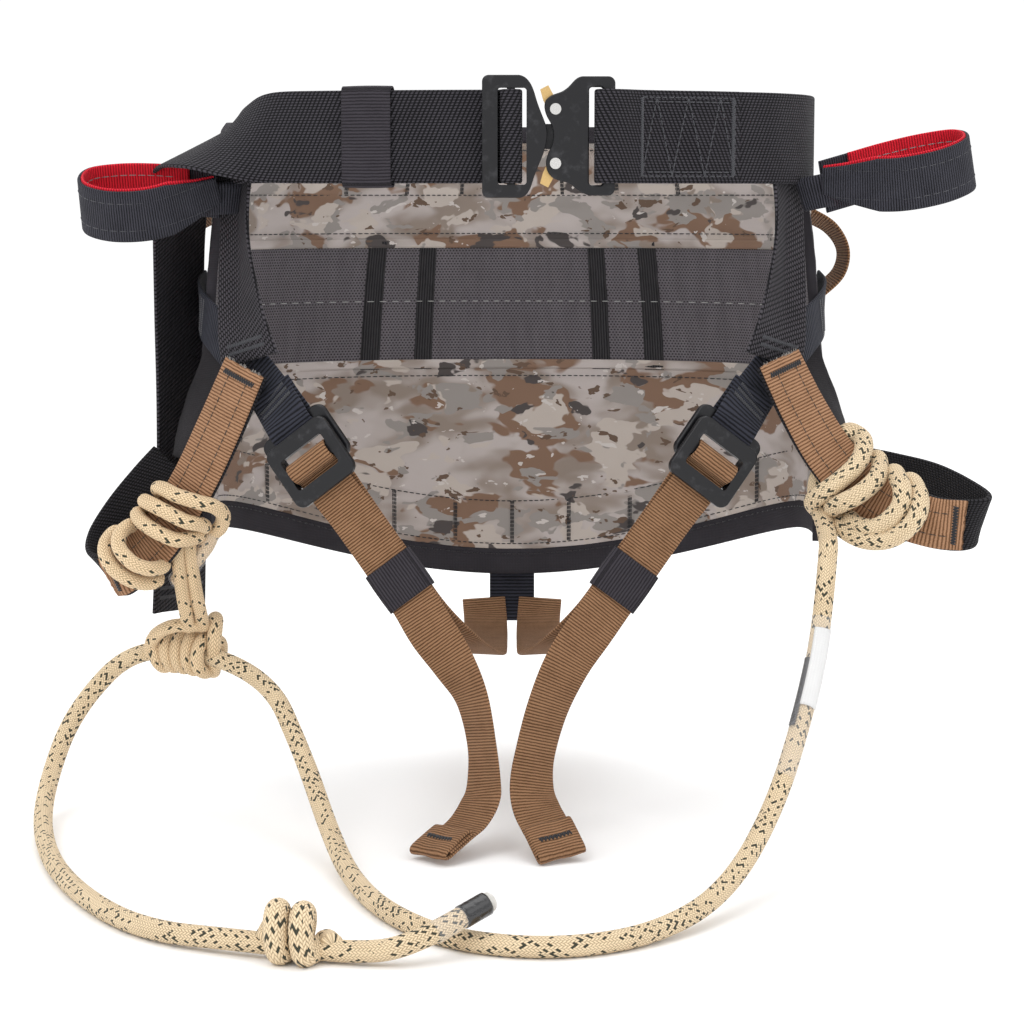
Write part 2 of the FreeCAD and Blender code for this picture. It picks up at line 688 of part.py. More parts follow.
LEG_MAIN = [
    Vec(16.5, 125.2, -262),
    Vec(15.5, 117, -272),
    Vec(15, 98, -278),
    Vec(15, 60, -277),
    Vec(15, 20, -273),
    Vec(15.5, -20, -268),
    Vec(19, -52, -262),
    Vec(28, -83, -252),
    Vec(42.7, -95.2, -236.3),
]
LEG_MAIN_NORMAL = [
    Vec(0, -0.75, 0.65),
    Vec(0, 0.3, -0.95),
    Vec(0, 0.1, -1),
    Vec(0, 0, -1),
    Vec(0, -0.05, -1),
    Vec(0.05, -0.3, -0.95),
    Vec(0.1, -0.6, -0.8),
    Vec(0.12, -0.85, -0.5),
    Vec(0.15, -0.96, -0.2),
]
LEG_TAIL = {
    -1: [
        (Vec(-40, -100.0, -243), Vec(-0.15, -0.98, -0.1)),
        (Vec(-29, -103.0, -259), Vec(-0.45, -0.88, -0.1)),
        (Vec(-20, -105.5, -276), Vec(-0.75, -0.65, 0)),
        (Vec(-15, -108.0, -299), Vec(-0.82, -0.57, 0)),
        (Vec(-14, -112.0, -317), Vec(-0.75, -0.62, 0.2)),
        (Vec(-15.9, -117.0, -326), Vec(-0.62, -0.66, 0.42)),
        (Vec(-21.2, -123.5, -334), Vec(-0.45, -0.45, 0.77)),
        (Vec(-28.0, -130.5, -338.8), Vec(-0.30, -0.25, 0.92)),
    ],
    1: [
        (Vec(39, -100.2, -242), Vec(0.15, -0.98, -0.1)),
        (Vec(27.5, -103.0, -259), Vec(0.30, -0.95, -0.1)),
        (Vec(18, -105.5, -280), Vec(0.55, -0.84, 0)),
        (Vec(11.5, -108.5, -303), Vec(0.60, -0.80, 0)),
        (Vec(9.8, -113.0, -318), Vec(0.50, -0.82, 0.25)),
        (Vec(12.0, -120.5, -328), Vec(0.28, -0.76, 0.55)),
        (Vec(17.0, -129.5, -336), Vec(0.08, -0.50, 0.85)),
    ],
}


def leg_strap(side):
    """One strap: from the back under the leg, round the slider's bar, and down as the free tail."""
    name = side_name(side)
    down, out, cross = leg_axes(side)
    up_pairs = [(66, -1.6), (40, -0.2), (20, -0.1), (6, -0.1), (0.5, 0.3), (-3.6, 3.0)]
    over_pairs = [(-4.6, 7), (-4.4, 10.6), (-2.6, 12.9), (0, 13.3), (2.6, 12.9), (4.4, 10.6)]
    down_pairs = [(5.6, 8.0), (9, 6.5), (14, 6.45), (21, 5.7), (30, 3.6), (42, 2.4), (66, 1.4), (84, 0.2)]
    main = mirrored(LEG_MAIN, side)
    across = across_from(main, mirrored(LEG_MAIN_NORMAL, side))
    buckle = leg_place(side, up_pairs + over_pairs + down_pairs)
    cross = cross * (1 if cross.dot(across[-1]) > 0 else -1)
    tail = [p for p, _ in LEG_TAIL[side]]
    tail_across = across_from(tail, [n for _, n in LEG_TAIL[side]])
    tail_across = [a * (1 if a.dot(cross) > 0 else -1) for a in tail_across]
    points = main + buckle + tail
    across = across + [cross] * len(buckle) + tail_across
    save(f"leg_strap_{name}", webbing(points, across, STRAP_WIDTH, LEG_THICKNESS, 2))
    fold_end(side, tail, tail_across)
    middle, ahead = leg_place(side, [(KEEPER_D, -0.6), (KEEPER_D + 10, -1.2)])
    ring = tube_ring(middle, ahead - middle, cross, 22.0, STRAP_WIDTH + 1, 7.2, 1.2)
    save(f"leg_keeper_{name}", ring)


def fold_end(side, tail, tail_across):
    """The tail's end, folded over twice and sewn: a thicker block past the last station."""
    along = unit(tail[-1] - tail[-2])
    middle = tail[-1] + along * 9.5
    out = unit(tail_across[-1].cross(along))
    a, b, c = along * 9.2, tail_across[-1] * (STRAP_WIDTH / 2), out * 2.4
    corners = [middle - a + b - c, middle - a - b - c, middle + a - b - c, middle + a + b - c]
    block = Part.Face(Part.makePolygon(corners + corners[:1])).extrude(c * 2)
    save(f"leg_tail_end_{side_name(side)}", block)


# ---------------------------------------------------------------- rope

BRIDGE_ROPE = [
    Vec(155, -112, -200),
    Vec(151, -127, -236),
    Vec(140, -150, -274),
    Vec(122, -188, -313),
    Vec(96, -236, -339),
    Vec(62, -280, -345.2),
    Vec(20, -302, -345.2),
    Vec(-24, -290, -345.2),
    Vec(-54, -250, -345.2),
    Vec(-74, -196, -344.5),
    Vec(-88, -140, -337),
    Vec(-105, -88, -309),
    Vec(-128, -46, -273),
    Vec(-196, -14, -262),
    Vec(-232, -20, -298),
    Vec(-243, -48, -334),
    Vec(-234, -112, -345.2),
    Vec(-208, -196, -345.2),
    Vec(-164, -272, -345.2),
    Vec(-112, -297, -343),
    Vec(-62, -309, -345.2),
    Vec(-40, -310, -340),
    Vec(-22, -297, -333),
]
STOPPER_MIDDLE = Vec(-91, -302, -344.2)


def tube(points, radius):
    """Straight runs joined by arcs, each as large as its two runs allow."""
    edges, at = [], points[0]
    for before, corner, after in zip(points, points[1:], points[2:]):
        back, ahead = unit(before - corner), unit(after - corner)
        turn = math.pi - back.getAngle(ahead)
        tangent = TANGENT_SHARE * min((before - corner).Length, (after - corner).Length)
        bend = tangent / math.tan(turn / 2)
        start, end = corner + back * tangent, corner + ahead * tangent
        centre = corner + unit(back + ahead) * (bend / math.cos(turn / 2))
        middle = centre + unit(corner - centre) * bend
        edges += [Part.makeLine(at, start), Part.Arc(start, middle, end).toShape()]
        at = end
        print(f"turn {math.degrees(turn):5.1f} deg, radius {bend:6.1f} mm")
    edges.append(Part.makeLine(at, points[-1]))
    path = Part.Wire(edges)
    start_way = unit(points[1] - points[0])
    profile = Part.Wire(Part.makeCircle(radius, points[0], start_way))
    solid = path.makePipeShell([profile], True, False)
    print(f"length {path.Length:.0f} mm, volume over section times length",
          round(solid.Volume / (math.pi * radius**2 * path.Length), 4))
    return solid


def bridge_rope():
    """The rope, its capped end, and the stopper knot round it."""
    save("bridge_rope", tube(BRIDGE_ROPE, ROPE_RADIUS))
    start, way = BRIDGE_ROPE[-1], unit(BRIDGE_ROPE[-1] - BRIDGE_ROPE[-2])
    save("rope_end_cap", Part.makeCylinder(ROPE_RADIUS + 0.5, 22.0, start, way))
    middle = STOPPER_MIDDLE + Vec(0, 0, 3.5)
    way = unit(BRIDGE_ROPE[20] - BRIDGE_ROPE[19])
    knot = Part.makeCylinder(12.0, 30.0, middle - way * 15, way)
    knot = knot.makeFillet(5.0, [e for e in knot.Edges if len(e.Vertexes) == 1 and e.Length > 60])
    save("stopper_knot", knot.cut(tube(BRIDGE_ROPE, ROPE_RADIUS + LAYER_GAP)))


def sleeve_on_run(first, second, start, length, inner, outer):
    """A round sleeve on the line from first to second, that starts so far along it."""
    way = unit(second - first)
    at = first + way * start
    body = Part.makeCylinder(outer, length, at, way)
    return body.cut(Part.makeCylinder(inner, length, at, way))


def rope_pieces():
    """Friction hitch round the rope, and the clear sleeve that holds its label."""
    clear = ROPE_RADIUS + 1.9
    a, b = BRIDGE_ROPE[12], BRIDGE_ROPE[13]
    run = (b - a).Length
    save("friction_hitch", sleeve_on_run(a, b, run / 2 - 21, 42, clear, clear + 2 * CORD_RADIUS))
    a, b = BRIDGE_ROPE[1], BRIDGE_ROPE[2]
    save("rope_label_sleeve", sleeve_on_run(a, b, 1, 42, ROPE_RADIUS + 1.5, ROPE_RADIUS + 2.2))


def oval_sleeve(centre, along, across, length, inner, outer):
    """A sleeve with an oval section: the outer shape of rope turns round a flat strap."""
    along = unit(along)
    across = unit(across - along * across.dot(along))
    out = across.cross(along)

    def core(size):
        half_width, half_height = size
        straight = half_width - half_height
        low = centre - along * (length / 2)
        a, b = across * straight, out * half_height
        top = Part.makeLine(low - a + b, low + a + b)
        right = Part.Arc(low + a + b, low + a + across * half_height, low + a - b).toShape()
        base = Part.makeLine(low + a - b, low - a - b)
        left = Part.Arc(low - a - b, low - a - across * half_height, low - a + b).toShape()
        return Part.Face(Part.Wire([top, right, base, left])).extrude(along * length)

    return core(outer).cut(core(inner))


def hitches():
    """The turns of the small cord on the left bridge loop and of the rope on the right one."""
    for side, name, radius, share, length in (
        (-1, "cord_hitch_left", CORD_RADIUS, 0.5, 44),
        (1, "rope_hitch_right", ROPE_RADIUS, 0.5, 40),
    ):
        low, high = BRIDGE_NEAR[side][2], BRIDGE_NEAR[side][4]
        middle = BRIDGE_NEAR[side][3]
        along = high[0] - low[0]
        across = along.cross(middle[1])
        centre = middle[0] + unit(middle[1]) * 1.0
        inner = (STRAP_WIDTH / 2 + 3.5, 9.0)
        outer = (inner[0] + 2 * radius, inner[1] + 2 * radius)
        save(name, oval_sleeve(centre, along, across, length, inner, outer))


def cord_strands():
    """The two strands of the small cord from the hitch on the loop to the friction hitch."""
    foot = (BRIDGE_ROPE[12] + BRIDGE_ROPE[13]) / 2
    for name, start, end in (
        ("a", Vec(-170.2, -51.2, -223.4), foot + Vec(-3, -8, 13)),
        ("b", Vec(-162, -50, -217), foot + Vec(5, -10, 13)),
    ):
        way = end - start
        save(f"cord_strand_{name}", Part.makeCylinder(CORD_RADIUS, way.Length, start, way))


def main():
    os.makedirs(OUT, exist_ok=True)
    seat_panel()
    crotch_tab()
    belt_fixed()
    belt_adjustable()
    belt_keeper()
    buckle_male()
    buckle_female()
    for side in (-1, 1):
        side_strap(side)
        hip_wing(side)
        gear_loop(side)
        hip_strap(side)
        lineman_loop(side)
        bridge_loop(side)
        leg_buckle(side)
        leg_strap(side)
    bridge_rope()
    rope_pieces()
    hitches()
    cord_strands()


main()
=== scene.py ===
"""Tree climbing saddle: the looks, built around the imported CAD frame.

Lengths below are millimetres in the row's own frame, and add_mesh() turns them into metres.
A strap is a Band: stations of (centre, outward normal) that a flat woven strip follows.
A cord is a Line: points that a round tube follows.
"""

import math
import random

import bpy
import numpy as np
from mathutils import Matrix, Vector, noise


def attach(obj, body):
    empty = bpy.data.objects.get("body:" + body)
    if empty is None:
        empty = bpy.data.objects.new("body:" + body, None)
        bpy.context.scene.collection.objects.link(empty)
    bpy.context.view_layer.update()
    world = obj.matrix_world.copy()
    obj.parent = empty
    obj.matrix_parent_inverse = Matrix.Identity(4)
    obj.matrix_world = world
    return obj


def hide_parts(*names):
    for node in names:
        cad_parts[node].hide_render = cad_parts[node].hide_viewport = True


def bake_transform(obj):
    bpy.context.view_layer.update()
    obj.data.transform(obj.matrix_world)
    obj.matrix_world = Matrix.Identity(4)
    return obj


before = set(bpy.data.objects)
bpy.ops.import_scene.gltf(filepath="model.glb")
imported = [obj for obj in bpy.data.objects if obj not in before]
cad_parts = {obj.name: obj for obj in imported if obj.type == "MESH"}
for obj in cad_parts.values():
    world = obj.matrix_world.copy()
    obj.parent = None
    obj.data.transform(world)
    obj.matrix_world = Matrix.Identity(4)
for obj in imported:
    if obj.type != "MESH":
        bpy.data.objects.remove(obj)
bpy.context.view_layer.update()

MM = 0.001
Vec = Vector
random.seed(7)

# The wearer's body, as the CAD frame has it.
WAIST_HALF_WIDTH = 147.0
HIP_HALF_WIDTH = 160.0
BELLY_DEPTH = 96.0
WAIST_BACK_DEPTH = 98.0
HIP_BACK_DEPTH = 120.0
HIP_HEIGHT = -170.0
SQUARENESS = 2.4

PANEL_TOP = 8.0
CORNER_DROP = 12.0
MESH_TOP = -56.0
MESH_BOTTOM = -125.0
PANEL_BOTTOM = -247.0
PANEL_RISE = 40.0
PANEL_THICKNESS = 4.0
RIB_THICKNESS = 4.9
RIB_HALF_ANGLE = 2.2
PANEL_FIRST = -9.0
PANEL_LAST = 189.0
BINDING_HEIGHT = 15.0

BELT_WIDTH = 45.0
BELT_THICKNESS = 2.2
STRAP_WIDTH = 25.0
STRAP_THICKNESS = 1.8
LEG_THICKNESS = 1.6
LINING_THICKNESS = 1.2
BRIDGE_THICKNESS = 3.0
TAB_WIDTH = 26.0
GEAR_LOOP_WIDTH = 20.0
LOOP_WIDTH = 28.0
LOOP_ROOT_WIDTH = 14.0
KEEPER_HEIGHT = 7.0
SLEEVE_START = 36.0
SLEEVE_END = 124.0
FLOOR_LEVEL = -350.0
ROPE_RADIUS = 4.75
CORD_RADIUS = 3.5
UP = Vec((0, 0, 1))


# ---------------------------------------------------------------- geometry


def v3(*xyz):
    return Vec(xyz)


def trace(*places):
    return [v3(*place) for place in places]


def stations(*rows):
    """Pairs of a centre and an outward normal, from rows of six numbers."""
    return [(v3(*row[:3]), v3(*row[3:])) for row in rows]


def unit(v):
    return v.normalized()


def smooth(values, steps):
    """Points of a Catmull-Rom curve through the values."""
    padded = [values[0] * 2 - values[1]] + list(values) + [values[-1] * 2 - values[-2]]
    out = []
    for i in range(1, len(padded) - 2):
        before, start, end, after = padded[i - 1 : i + 3]
        for k in range(steps):
            t = k / steps
            out.append(
                start
                + (end - before) * (0.5 * t)
                + (before * 2 - start * 5 + end * 4 - after) * (0.5 * t * t)
                + (start * 3 - before - end * 3 + after) * (0.5 * t * t * t)
            )
    return out + [values[-1]]


def lengths(points):
    total = [0.0]
    for a, b in zip(points, points[1:]):
        total.append(total[-1] + (b - a).length)
    return total


def spaced(points, others, spacing):
    """Both lists again, at even steps along the first."""
    at = lengths(points)
    count = max(2, round(at[-1] / spacing) + 1)
    out, out_others, i = [], [], 0
    for k in range(count):
        s = at[-1] * k / (count - 1)
        while i < len(at) - 2 and at[i + 1] < s:
            i += 1
        t = (s - at[i]) / max(1e-9, at[i + 1] - at[i])
        out.append(points[i].lerp(points[i + 1], t))
        out_others.append(others[i].lerp(others[i + 1], t))
    return out, out_others


def tangents(points):
    last = len(points) - 1
    return [unit(points[min(i + 1, last)] - points[max(i - 1, 0)]) for i in range(last + 1)]


def placed(name, data):
    """A new object in the scene that shows the data."""
    holder = bpy.data.objects.new(name, data)
    bpy.context.scene.collection.objects.link(holder)
    return holder


def add_mesh(name, points, faces, material, weave=None, flat=(), body="root", replaces=()):
    """A mesh object in metres that rides on a body, with the weave's own coordinates."""
    mesh = bpy.data.meshes.new(name)
    mesh.from_pydata([p * MM for p in points], [], faces)
    mesh.shade_smooth()
    for i in flat:
        mesh.polygons[i].use_smooth = False
    if weave is not None:
        layer = mesh.attributes.new("weave", "FLOAT_VECTOR", "POINT")
        layer.data.foreach_set("vector", np.array(weave, np.float32).ravel())
    mesh.materials.append(material)
    mesh.update()
    piece = placed(name, mesh)
    if body:
        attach(piece, body)
    if replaces:
        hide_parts(*replaces)
    return piece


def rings_to_faces(ring_count, ring_size, closed_ends=True):
    """Quads between rings of vertices, and the two end faces."""
    faces = []
    for k in range(ring_count - 1):
        for i in range(ring_size):
            j = (i + 1) % ring_size
            a, b = k * ring_size, (k + 1) * ring_size
            faces.append((a + i, a + j, b + j, b + i))
    if closed_ends:
        faces.append(tuple(range(ring_size))[::-1])
        faces.append(tuple((ring_count - 1) * ring_size + i for i in range(ring_size)))
    return faces


class Band:
    """A woven strap. u runs along it, v across it, and n out of its face."""

    def __init__(self, course, width, thickness, lift=0.0, bend=None, spacing=1.6, across=None):
        points = [p for p, _ in course]
        if across is None:
            across = across_from(points, [n for _, n in course])
        for i in range(1, len(across)):
            if across[i].dot(across[i - 1]) < 0:
                across[i] = -across[i]
        dense, dense_across = smooth(points, 8), smooth(across, 8)
        self.centres, sides = spaced(dense, dense_across, spacing)
        self.sides, self.outs = [], []
        for along, side in zip(tangents(self.centres), sides):
            side = unit(side - along * side.dot(along))
            self.sides.append(side)
            self.outs.append(unit(side.cross(along)))
        if self.outs[0].dot(course[0][1]) < 0:
            self.outs = [-o for o in self.outs]
        self.at_length = lengths(self.centres)
        self.length = self.at_length[-1]
        self.width = width if callable(width) else lambda share: width
        self.thickness, self.lift, self.bend = thickness, lift, bend

    def place(self, k, v, n):
        share = self.at_length[k] / self.length
        n = n + self.lift
        if self.bend:
            n += self.bend(share, 2 * v / self.width(share))
        return self.centres[k] + self.sides[k] * v + self.outs[k] * n

    def at(self, u, v, n=0.0):
        """A point at u mm along and v mm across, n mm out from the middle layer."""
        u = min(max(u, 0.0), self.length)
        step = self.length / (len(self.centres) - 1)
        k = min(int(u / step), len(self.centres) - 2)
        return self.place(k, v, n).lerp(self.place(k + 1, v, n), u / step - k)

    def out(self, u):
        step = self.length / (len(self.centres) - 1)
        return self.outs[min(int(u / step), len(self.outs) - 1)]

    def build(self, name, material, body="root", replaces=(), columns=12, ragged=0.0):
        edge = self.thickness / 2
        ring = [(-1 + 2 * i / columns, 0, 1) for i in range(columns + 1)]
        ring += [(1, math.sin(a) * edge, math.cos(a)) for a in (0.79, 1.57, 2.36)]
        ring += [(1 - 2 * i / columns, 0, -1) for i in range(columns + 1)]
        ring += [(-1, -math.sin(a) * edge, math.cos(a)) for a in (2.36, 1.57, 0.79)]
        points, weave = [], []
        count = len(self.centres)
        for k in range(count):
            share = self.at_length[k] / self.length
            inner = self.width(share) / 2 - edge
            for across, beyond, face in ring:
                v = across * inner + beyond
                points.append(self.place(k, v, face * edge))
                weave.append((self.at_length[k], v, face))
        if ragged:
            for i in range(len(ring)):
                for k, way in ((0, -1), (count - 1, 1)):
                    along = tangents(self.centres)[k] * way
                    points[k * len(ring) + i] += along * random.uniform(-ragged, ragged)
        faces = rings_to_faces(count, len(ring))
        ends = (len(faces) - 1, len(faces) - 2)
        return add_mesh(name, points, faces, material, weave, ends, body, replaces)

    def run(self, path, face=1, stitch=3.0, gap=0.7):
        """Stitches along a path of (u, v) points on one face, as (start, end, outward)."""
        out, lift = [], face * (self.thickness / 2)
        for (u0, v0), (u1, v1) in zip(path, path[1:]):
            total = math.hypot(u1 - u0, v1 - v0)
            count = max(1, round(total / (stitch + gap)))
            for i in range(count):
                a = (i + 0.5 * gap / (stitch + gap)) / count
                b = (i + 1 - 0.5 * gap / (stitch + gap)) / count
                start = self.at(u0 + (u1 - u0) * a, v0 + (v1 - v0) * a, lift)
                end = self.at(u0 + (u1 - u0) * b, v0 + (v1 - v0) * b, lift)
                out.append((start, end, self.out((u0 + u1) / 2) * face))
        return out

    def bartack(self, u, half, face=1, height=2.2, pitch=0.55):
        """A dense zigzag across the band."""
        count = int(2 * half / pitch)
        path = [(u + height * (i % 2 - 0.5), -half + i * pitch) for i in range(count + 1)]
        return self.run(path, face, stitch=height + 1, gap=0.05)


def threads(name, runs, material, radius=0.24, body="root"):
    """One mesh of little stitches, each a thread that rises out of the cloth and goes back in."""
    points, faces, weave = [], [], []
    sides = 5
    for start, end, out in runs:
        along = unit(end - start)
        side = unit(along.cross(out))
        base = len(points)
        for share, rise, size in ((0, -0.5, 0.55), (0.2, 0.55, 1), (0.8, 0.55, 1), (1, -0.5, 0.55)):
            middle = start.lerp(end, share) + out * (rise * radius)
            for i in range(sides):
                a = 2 * math.pi * i / sides
                across = side * math.cos(a) + out * math.sin(a)
                points.append(middle + across * (radius * size))
                weave.append((share * 3, i, 0))
        for face in rings_to_faces(4, sides):
            faces.append(tuple(base + i for i in face))
    return add_mesh(name, points, faces, material, weave, (), body)


class Line:
    """A round cord's centre line, with a frame that doesn't twist."""

    def __init__(self, points, spacing=1.0):
        self.points, _ = spaced(points, points, spacing)
        self.tangents = tangents(self.points)
        first = self.tangents[0]
        normal = unit(first.cross(UP if abs(first.z) < 0.9 else v3(1, 0, 0)))
        self.normals = []
        for t in self.tangents:
            normal = unit(normal - t * normal.dot(t))
            self.normals.append(normal)
        self.at_length = lengths(self.points)
        self.length = self.at_length[-1]

    def at(self, u):
        """Centre, tangent, normal and binormal at u mm along."""
        step = self.length / (len(self.points) - 1)
        k = min(max(int(u / step), 0), len(self.points) - 2)
        share = u / step - k
        t, n = self.tangents[k], self.normals[k]
        return self.points[k].lerp(self.points[k + 1], share), t, n, t.cross(n)

    def build(self, name, radius, material, body="root", replaces=(), sides=20, round_ends=True):
        points, weave = [], []
        rings = []
        for k, p in enumerate(self.points):
            rings.append((p, k, 1.0))
        if round_ends:
            start, end = self.points[0], self.points[-1]
            for share in (0.35, 0.7, 0.93):
                size = math.sqrt(1 - share**2)
                rings.insert(0, (start - self.tangents[0] * radius * 0.6 * share, 0, size))
                last = len(self.points) - 1
                rings.append((end + self.tangents[-1] * radius * 0.6 * share, last, size))
        for p, k, size in rings:
            normal, binormal = self.normals[k], self.tangents[k].cross(self.normals[k])
            for i in range(sides):
                a = 2 * math.pi * i / sides
                out = normal * math.cos(a) + binormal * math.sin(a)
                points.append(p + out * radius * size)
                weave.append((self.at_length[k], math.cos(a), math.sin(a)))
        faces = rings_to_faces(len(rings), sides)
        return add_mesh(name, points, faces, material, weave, (), body, replaces)


def nearest(points, at_length, place):
    """How far along a strap or cord the point nearest to place is."""
    return at_length[min(range(len(points)), key=lambda k: (points[k] - place).length)]


def nurbs_line(name, route):
    """The points of a smooth spline that has the route's points as its control points."""
    curve = bpy.data.curves.new(name, "CURVE")
    curve.dimensions = "3D"
    curve.resolution_u = 24
    spline = curve.splines.new("NURBS")
    spline.points.add(len(route) - 1)
    for point, place in zip(spline.points, route):
        point.co = (*(place * MM), 1.0)
    spline.order_u = 3
    spline.use_endpoint_u = True
    holder = placed(name, curve)
    bpy.context.view_layer.update()
    mesh = bpy.data.meshes.new_from_object(holder)
    points = [v.co / MM for v in mesh.vertices]
    bpy.data.objects.remove(holder)
    bpy.data.curves.remove(curve)
    return points


def around(line, start, end, turns, radius, phase):
    """Points of a helix round a line, from start to end mm along it."""
    count = max(8, int(turns * 26))
    out = []
    for i in range(count + 1):
        t = i / count
        centre, _, normal, binormal = line.at(start + (end - start) * t)
        a = phase + 2 * math.pi * turns * t
        out.append(centre + normal * (radius * math.cos(a)) + binormal * (radius * math.sin(a)))
    return out


def body_size(z):
    share = math.sin(math.pi / 2 * min(1.0, max(0.0, z / HIP_HEIGHT)))
    width = WAIST_HALF_WIDTH + (HIP_HALF_WIDTH - WAIST_HALF_WIDTH) * share
    back = WAIST_BACK_DEPTH + (HIP_BACK_DEPTH - WAIST_BACK_DEPTH) * share
    return width, back, BELLY_DEPTH


def body_point(angle, z, offset=0.0):
    """A point on the wearer's body, pushed out by offset. 0 degrees is +X and 90 is the back."""
    width, back, front = body_size(z)
    c, s = math.cos(math.radians(angle)), math.sin(math.radians(angle))
    depth = back if s > 0 else front
    across_share = abs(c) / (width + offset)
    depth_share = abs(s) / (depth + offset)
    radius = (across_share**SQUARENESS + depth_share**SQUARENESS) ** (-1 / SQUARENESS)
    return v3(radius * c, radius * s, z)


def bottom_edge(angle, above=0.0):
    """Height of the panel's lower edge at an angle, or of a line that far above it."""
    z = PANEL_BOTTOM
    for _ in range(4):
        x = body_point(angle, z).x
        z = PANEL_BOTTOM + above + PANEL_RISE * (x / HIP_HALF_WIDTH) ** 2
    return z


# ---------------------------------------------------------------- materials


class Number:
    """A number in a node graph. Arithmetic on it adds the nodes that work it out."""

    def __init__(self, graph, socket):
        self.graph, self.socket = graph, socket

    def __add__(self, other):
        return self.graph.math("ADD", self, other)

    def __radd__(self, other):
        return self.graph.math("ADD", other, self)

    def __sub__(self, other):
        return self.graph.math("SUBTRACT", self, other)

    def __rsub__(self, other):
        return self.graph.math("SUBTRACT", other, self)

    def __mul__(self, other):
        return self.graph.math("MULTIPLY", self, other)

    def __truediv__(self, other):
        return self.graph.math("DIVIDE", self, other)

    def __pow__(self, other):
        return self.graph.math("POWER", self, other)


class Graph:
    """A material's node graph, written as nested calls."""

    def __init__(self, name, roughness=0.8, metallic=0.0, specular=0.5, sheen=0.0, coat=0.0):
        self.material = bpy.data.materials.new(name)
        self.material.use_nodes = True
        self.nodes = self.material.node_tree.nodes
        self.links = self.material.node_tree.links
        self.shader = self.nodes["Principled BSDF"]
        for socket, value in (("Roughness", roughness), ("Metallic", metallic),
                              ("Specular IOR Level", specular), ("Sheen Weight", sheen),
                              ("Coat Weight", coat)):
            self.shader.inputs[socket].default_value = value

    def put(self, socket, value):
        value = value.socket if isinstance(value, Number) else value
        if isinstance(value, bpy.types.NodeSocket):
            self.links.new(value, socket)
        else:
            socket.default_value = value

    def node(self, kind, settings=(), **inputs):
        node = self.nodes.new(kind)
        for key, value in dict(settings).items():
            setattr(node, key, value)
        for key, value in inputs.items():
            self.put(node.inputs[key.replace("_", " ")], value)
        return node

    def math(self, operation, *values):
        node = self.node("ShaderNodeMath", {"operation": operation})
        for socket, value in zip(node.inputs, values):
            self.put(socket, value)
        return Number(self, node.outputs[0])

    def floor(self, value):
        return self.math("FLOOR", value)

    def mix(self, share, first, second):
        node = self.node("ShaderNodeMix", {"data_type": "RGBA"})
        self.put(node.inputs[0], share)
        self.put(node.inputs[6], (*first, 1) if isinstance(first, tuple) else first)
        self.put(node.inputs[7], (*second, 1) if isinstance(second, tuple) else second)
        return node.outputs[2]

    def weave(self):
        """The weave's coordinates, in mm."""
        attribute = self.node("ShaderNodeAttribute", {"attribute_name": "weave"})
        split = self.node("ShaderNodeSeparateXYZ", Vector=attribute.outputs["Vector"])
        return [Number(self, axis) for axis in split.outputs]

    def vector(self, x, y, z=0.0):
        return self.node("ShaderNodeCombineXYZ", X=x, Y=y, Z=z).outputs[0]

    def place(self):
        """Where the point is in the row frame at rest, in mm."""
        coordinates = self.node("ShaderNodeTexCoord").outputs["Object"]
        node = self.node("ShaderNodeVectorMath", {"operation": "SCALE"})
        self.put(node.inputs[0], coordinates)
        node.inputs["Scale"].default_value = 1000.0
        return node.outputs[0]

    def noise(self, vector, scale, detail=3.0, roughness=0.55):
        node = self.node("ShaderNodeTexNoise", Vector=vector, Scale=scale, Detail=detail)
        node.inputs["Roughness"].default_value = roughness
        return Number(self, node.outputs["Fac"])

    def ramp(self, value, low, high):
        node = self.node("ShaderNodeMapRange", {"interpolation_type": "SMOOTHSTEP"}, Value=value)
        node.inputs["From Min"].default_value = low
        node.inputs["From Max"].default_value = high
        return Number(self, node.outputs[0])

    def wave(self, value, pitch):
        """0 at each multiple of pitch and 1 halfway between."""
        return self.math("ABSOLUTE", self.math("SINE", value * (math.pi / pitch)))

    def finish(self, colour, height, depth, roughness=None):
        """Sets the colour and a bump of that many mm."""
        self.put(self.shader.inputs["Base Color"], (*colour, 1) if isinstance(colour, tuple) else colour)
        if height is not None:
            bump = self.node("ShaderNodeBump", Height=height)
            bump.inputs["Distance"].default_value = depth * MM
            bump.inputs["Strength"].default_value = 1.0
            self.links.new(bump.outputs[0], self.shader.inputs["Normal"])
        if roughness is not None:
            self.put(self.shader.inputs["Roughness"], roughness)
        return self.material


def ribbed(name, light, dark, pitch=1.55, depth=0.55, yarn=0.62, fuzzy=0.45):
    """Webbing with ribs across it, each made of fine yarns along the strap. The dark colour is painted
    shade in the grooves and the light one a painted highlight on the rib and yarn tops.
    """
    g = Graph(name, roughness=0.75, specular=0.14, sheen=0.03)
    u, v, _ = g.weave()
    wander = g.noise(g.vector(u, v), 0.35, 2.0)
    shifted = u + wander * 0.5
    rib = g.wave(shifted, pitch)
    row = g.floor(shifted / pitch)
    lean = shifted * (0.5 * yarn / pitch)
    offset = v + lean + row * (yarn / 2)
    strand = g.wave(offset, yarn)
    height = rib ** 1.15 * 0.72 + strand * 0.28
    patches = g.noise(g.vector(u, v), 0.09, 4.0)
    fuzz = g.noise(g.vector(u * 0.35, v), 3.2, 2.0)
    # Painted shade and highlight: the colour follows the relief height, mottled by the random patches and
    # fuzz.
    relief_shade_and_mottle = height * (0.62 + patches * 0.75) + (fuzz - 0.5) * fuzzy
    return g.finish(g.mix(g.ramp(relief_shade_and_mottle, 0.12, 0.98), dark, light), height, depth)


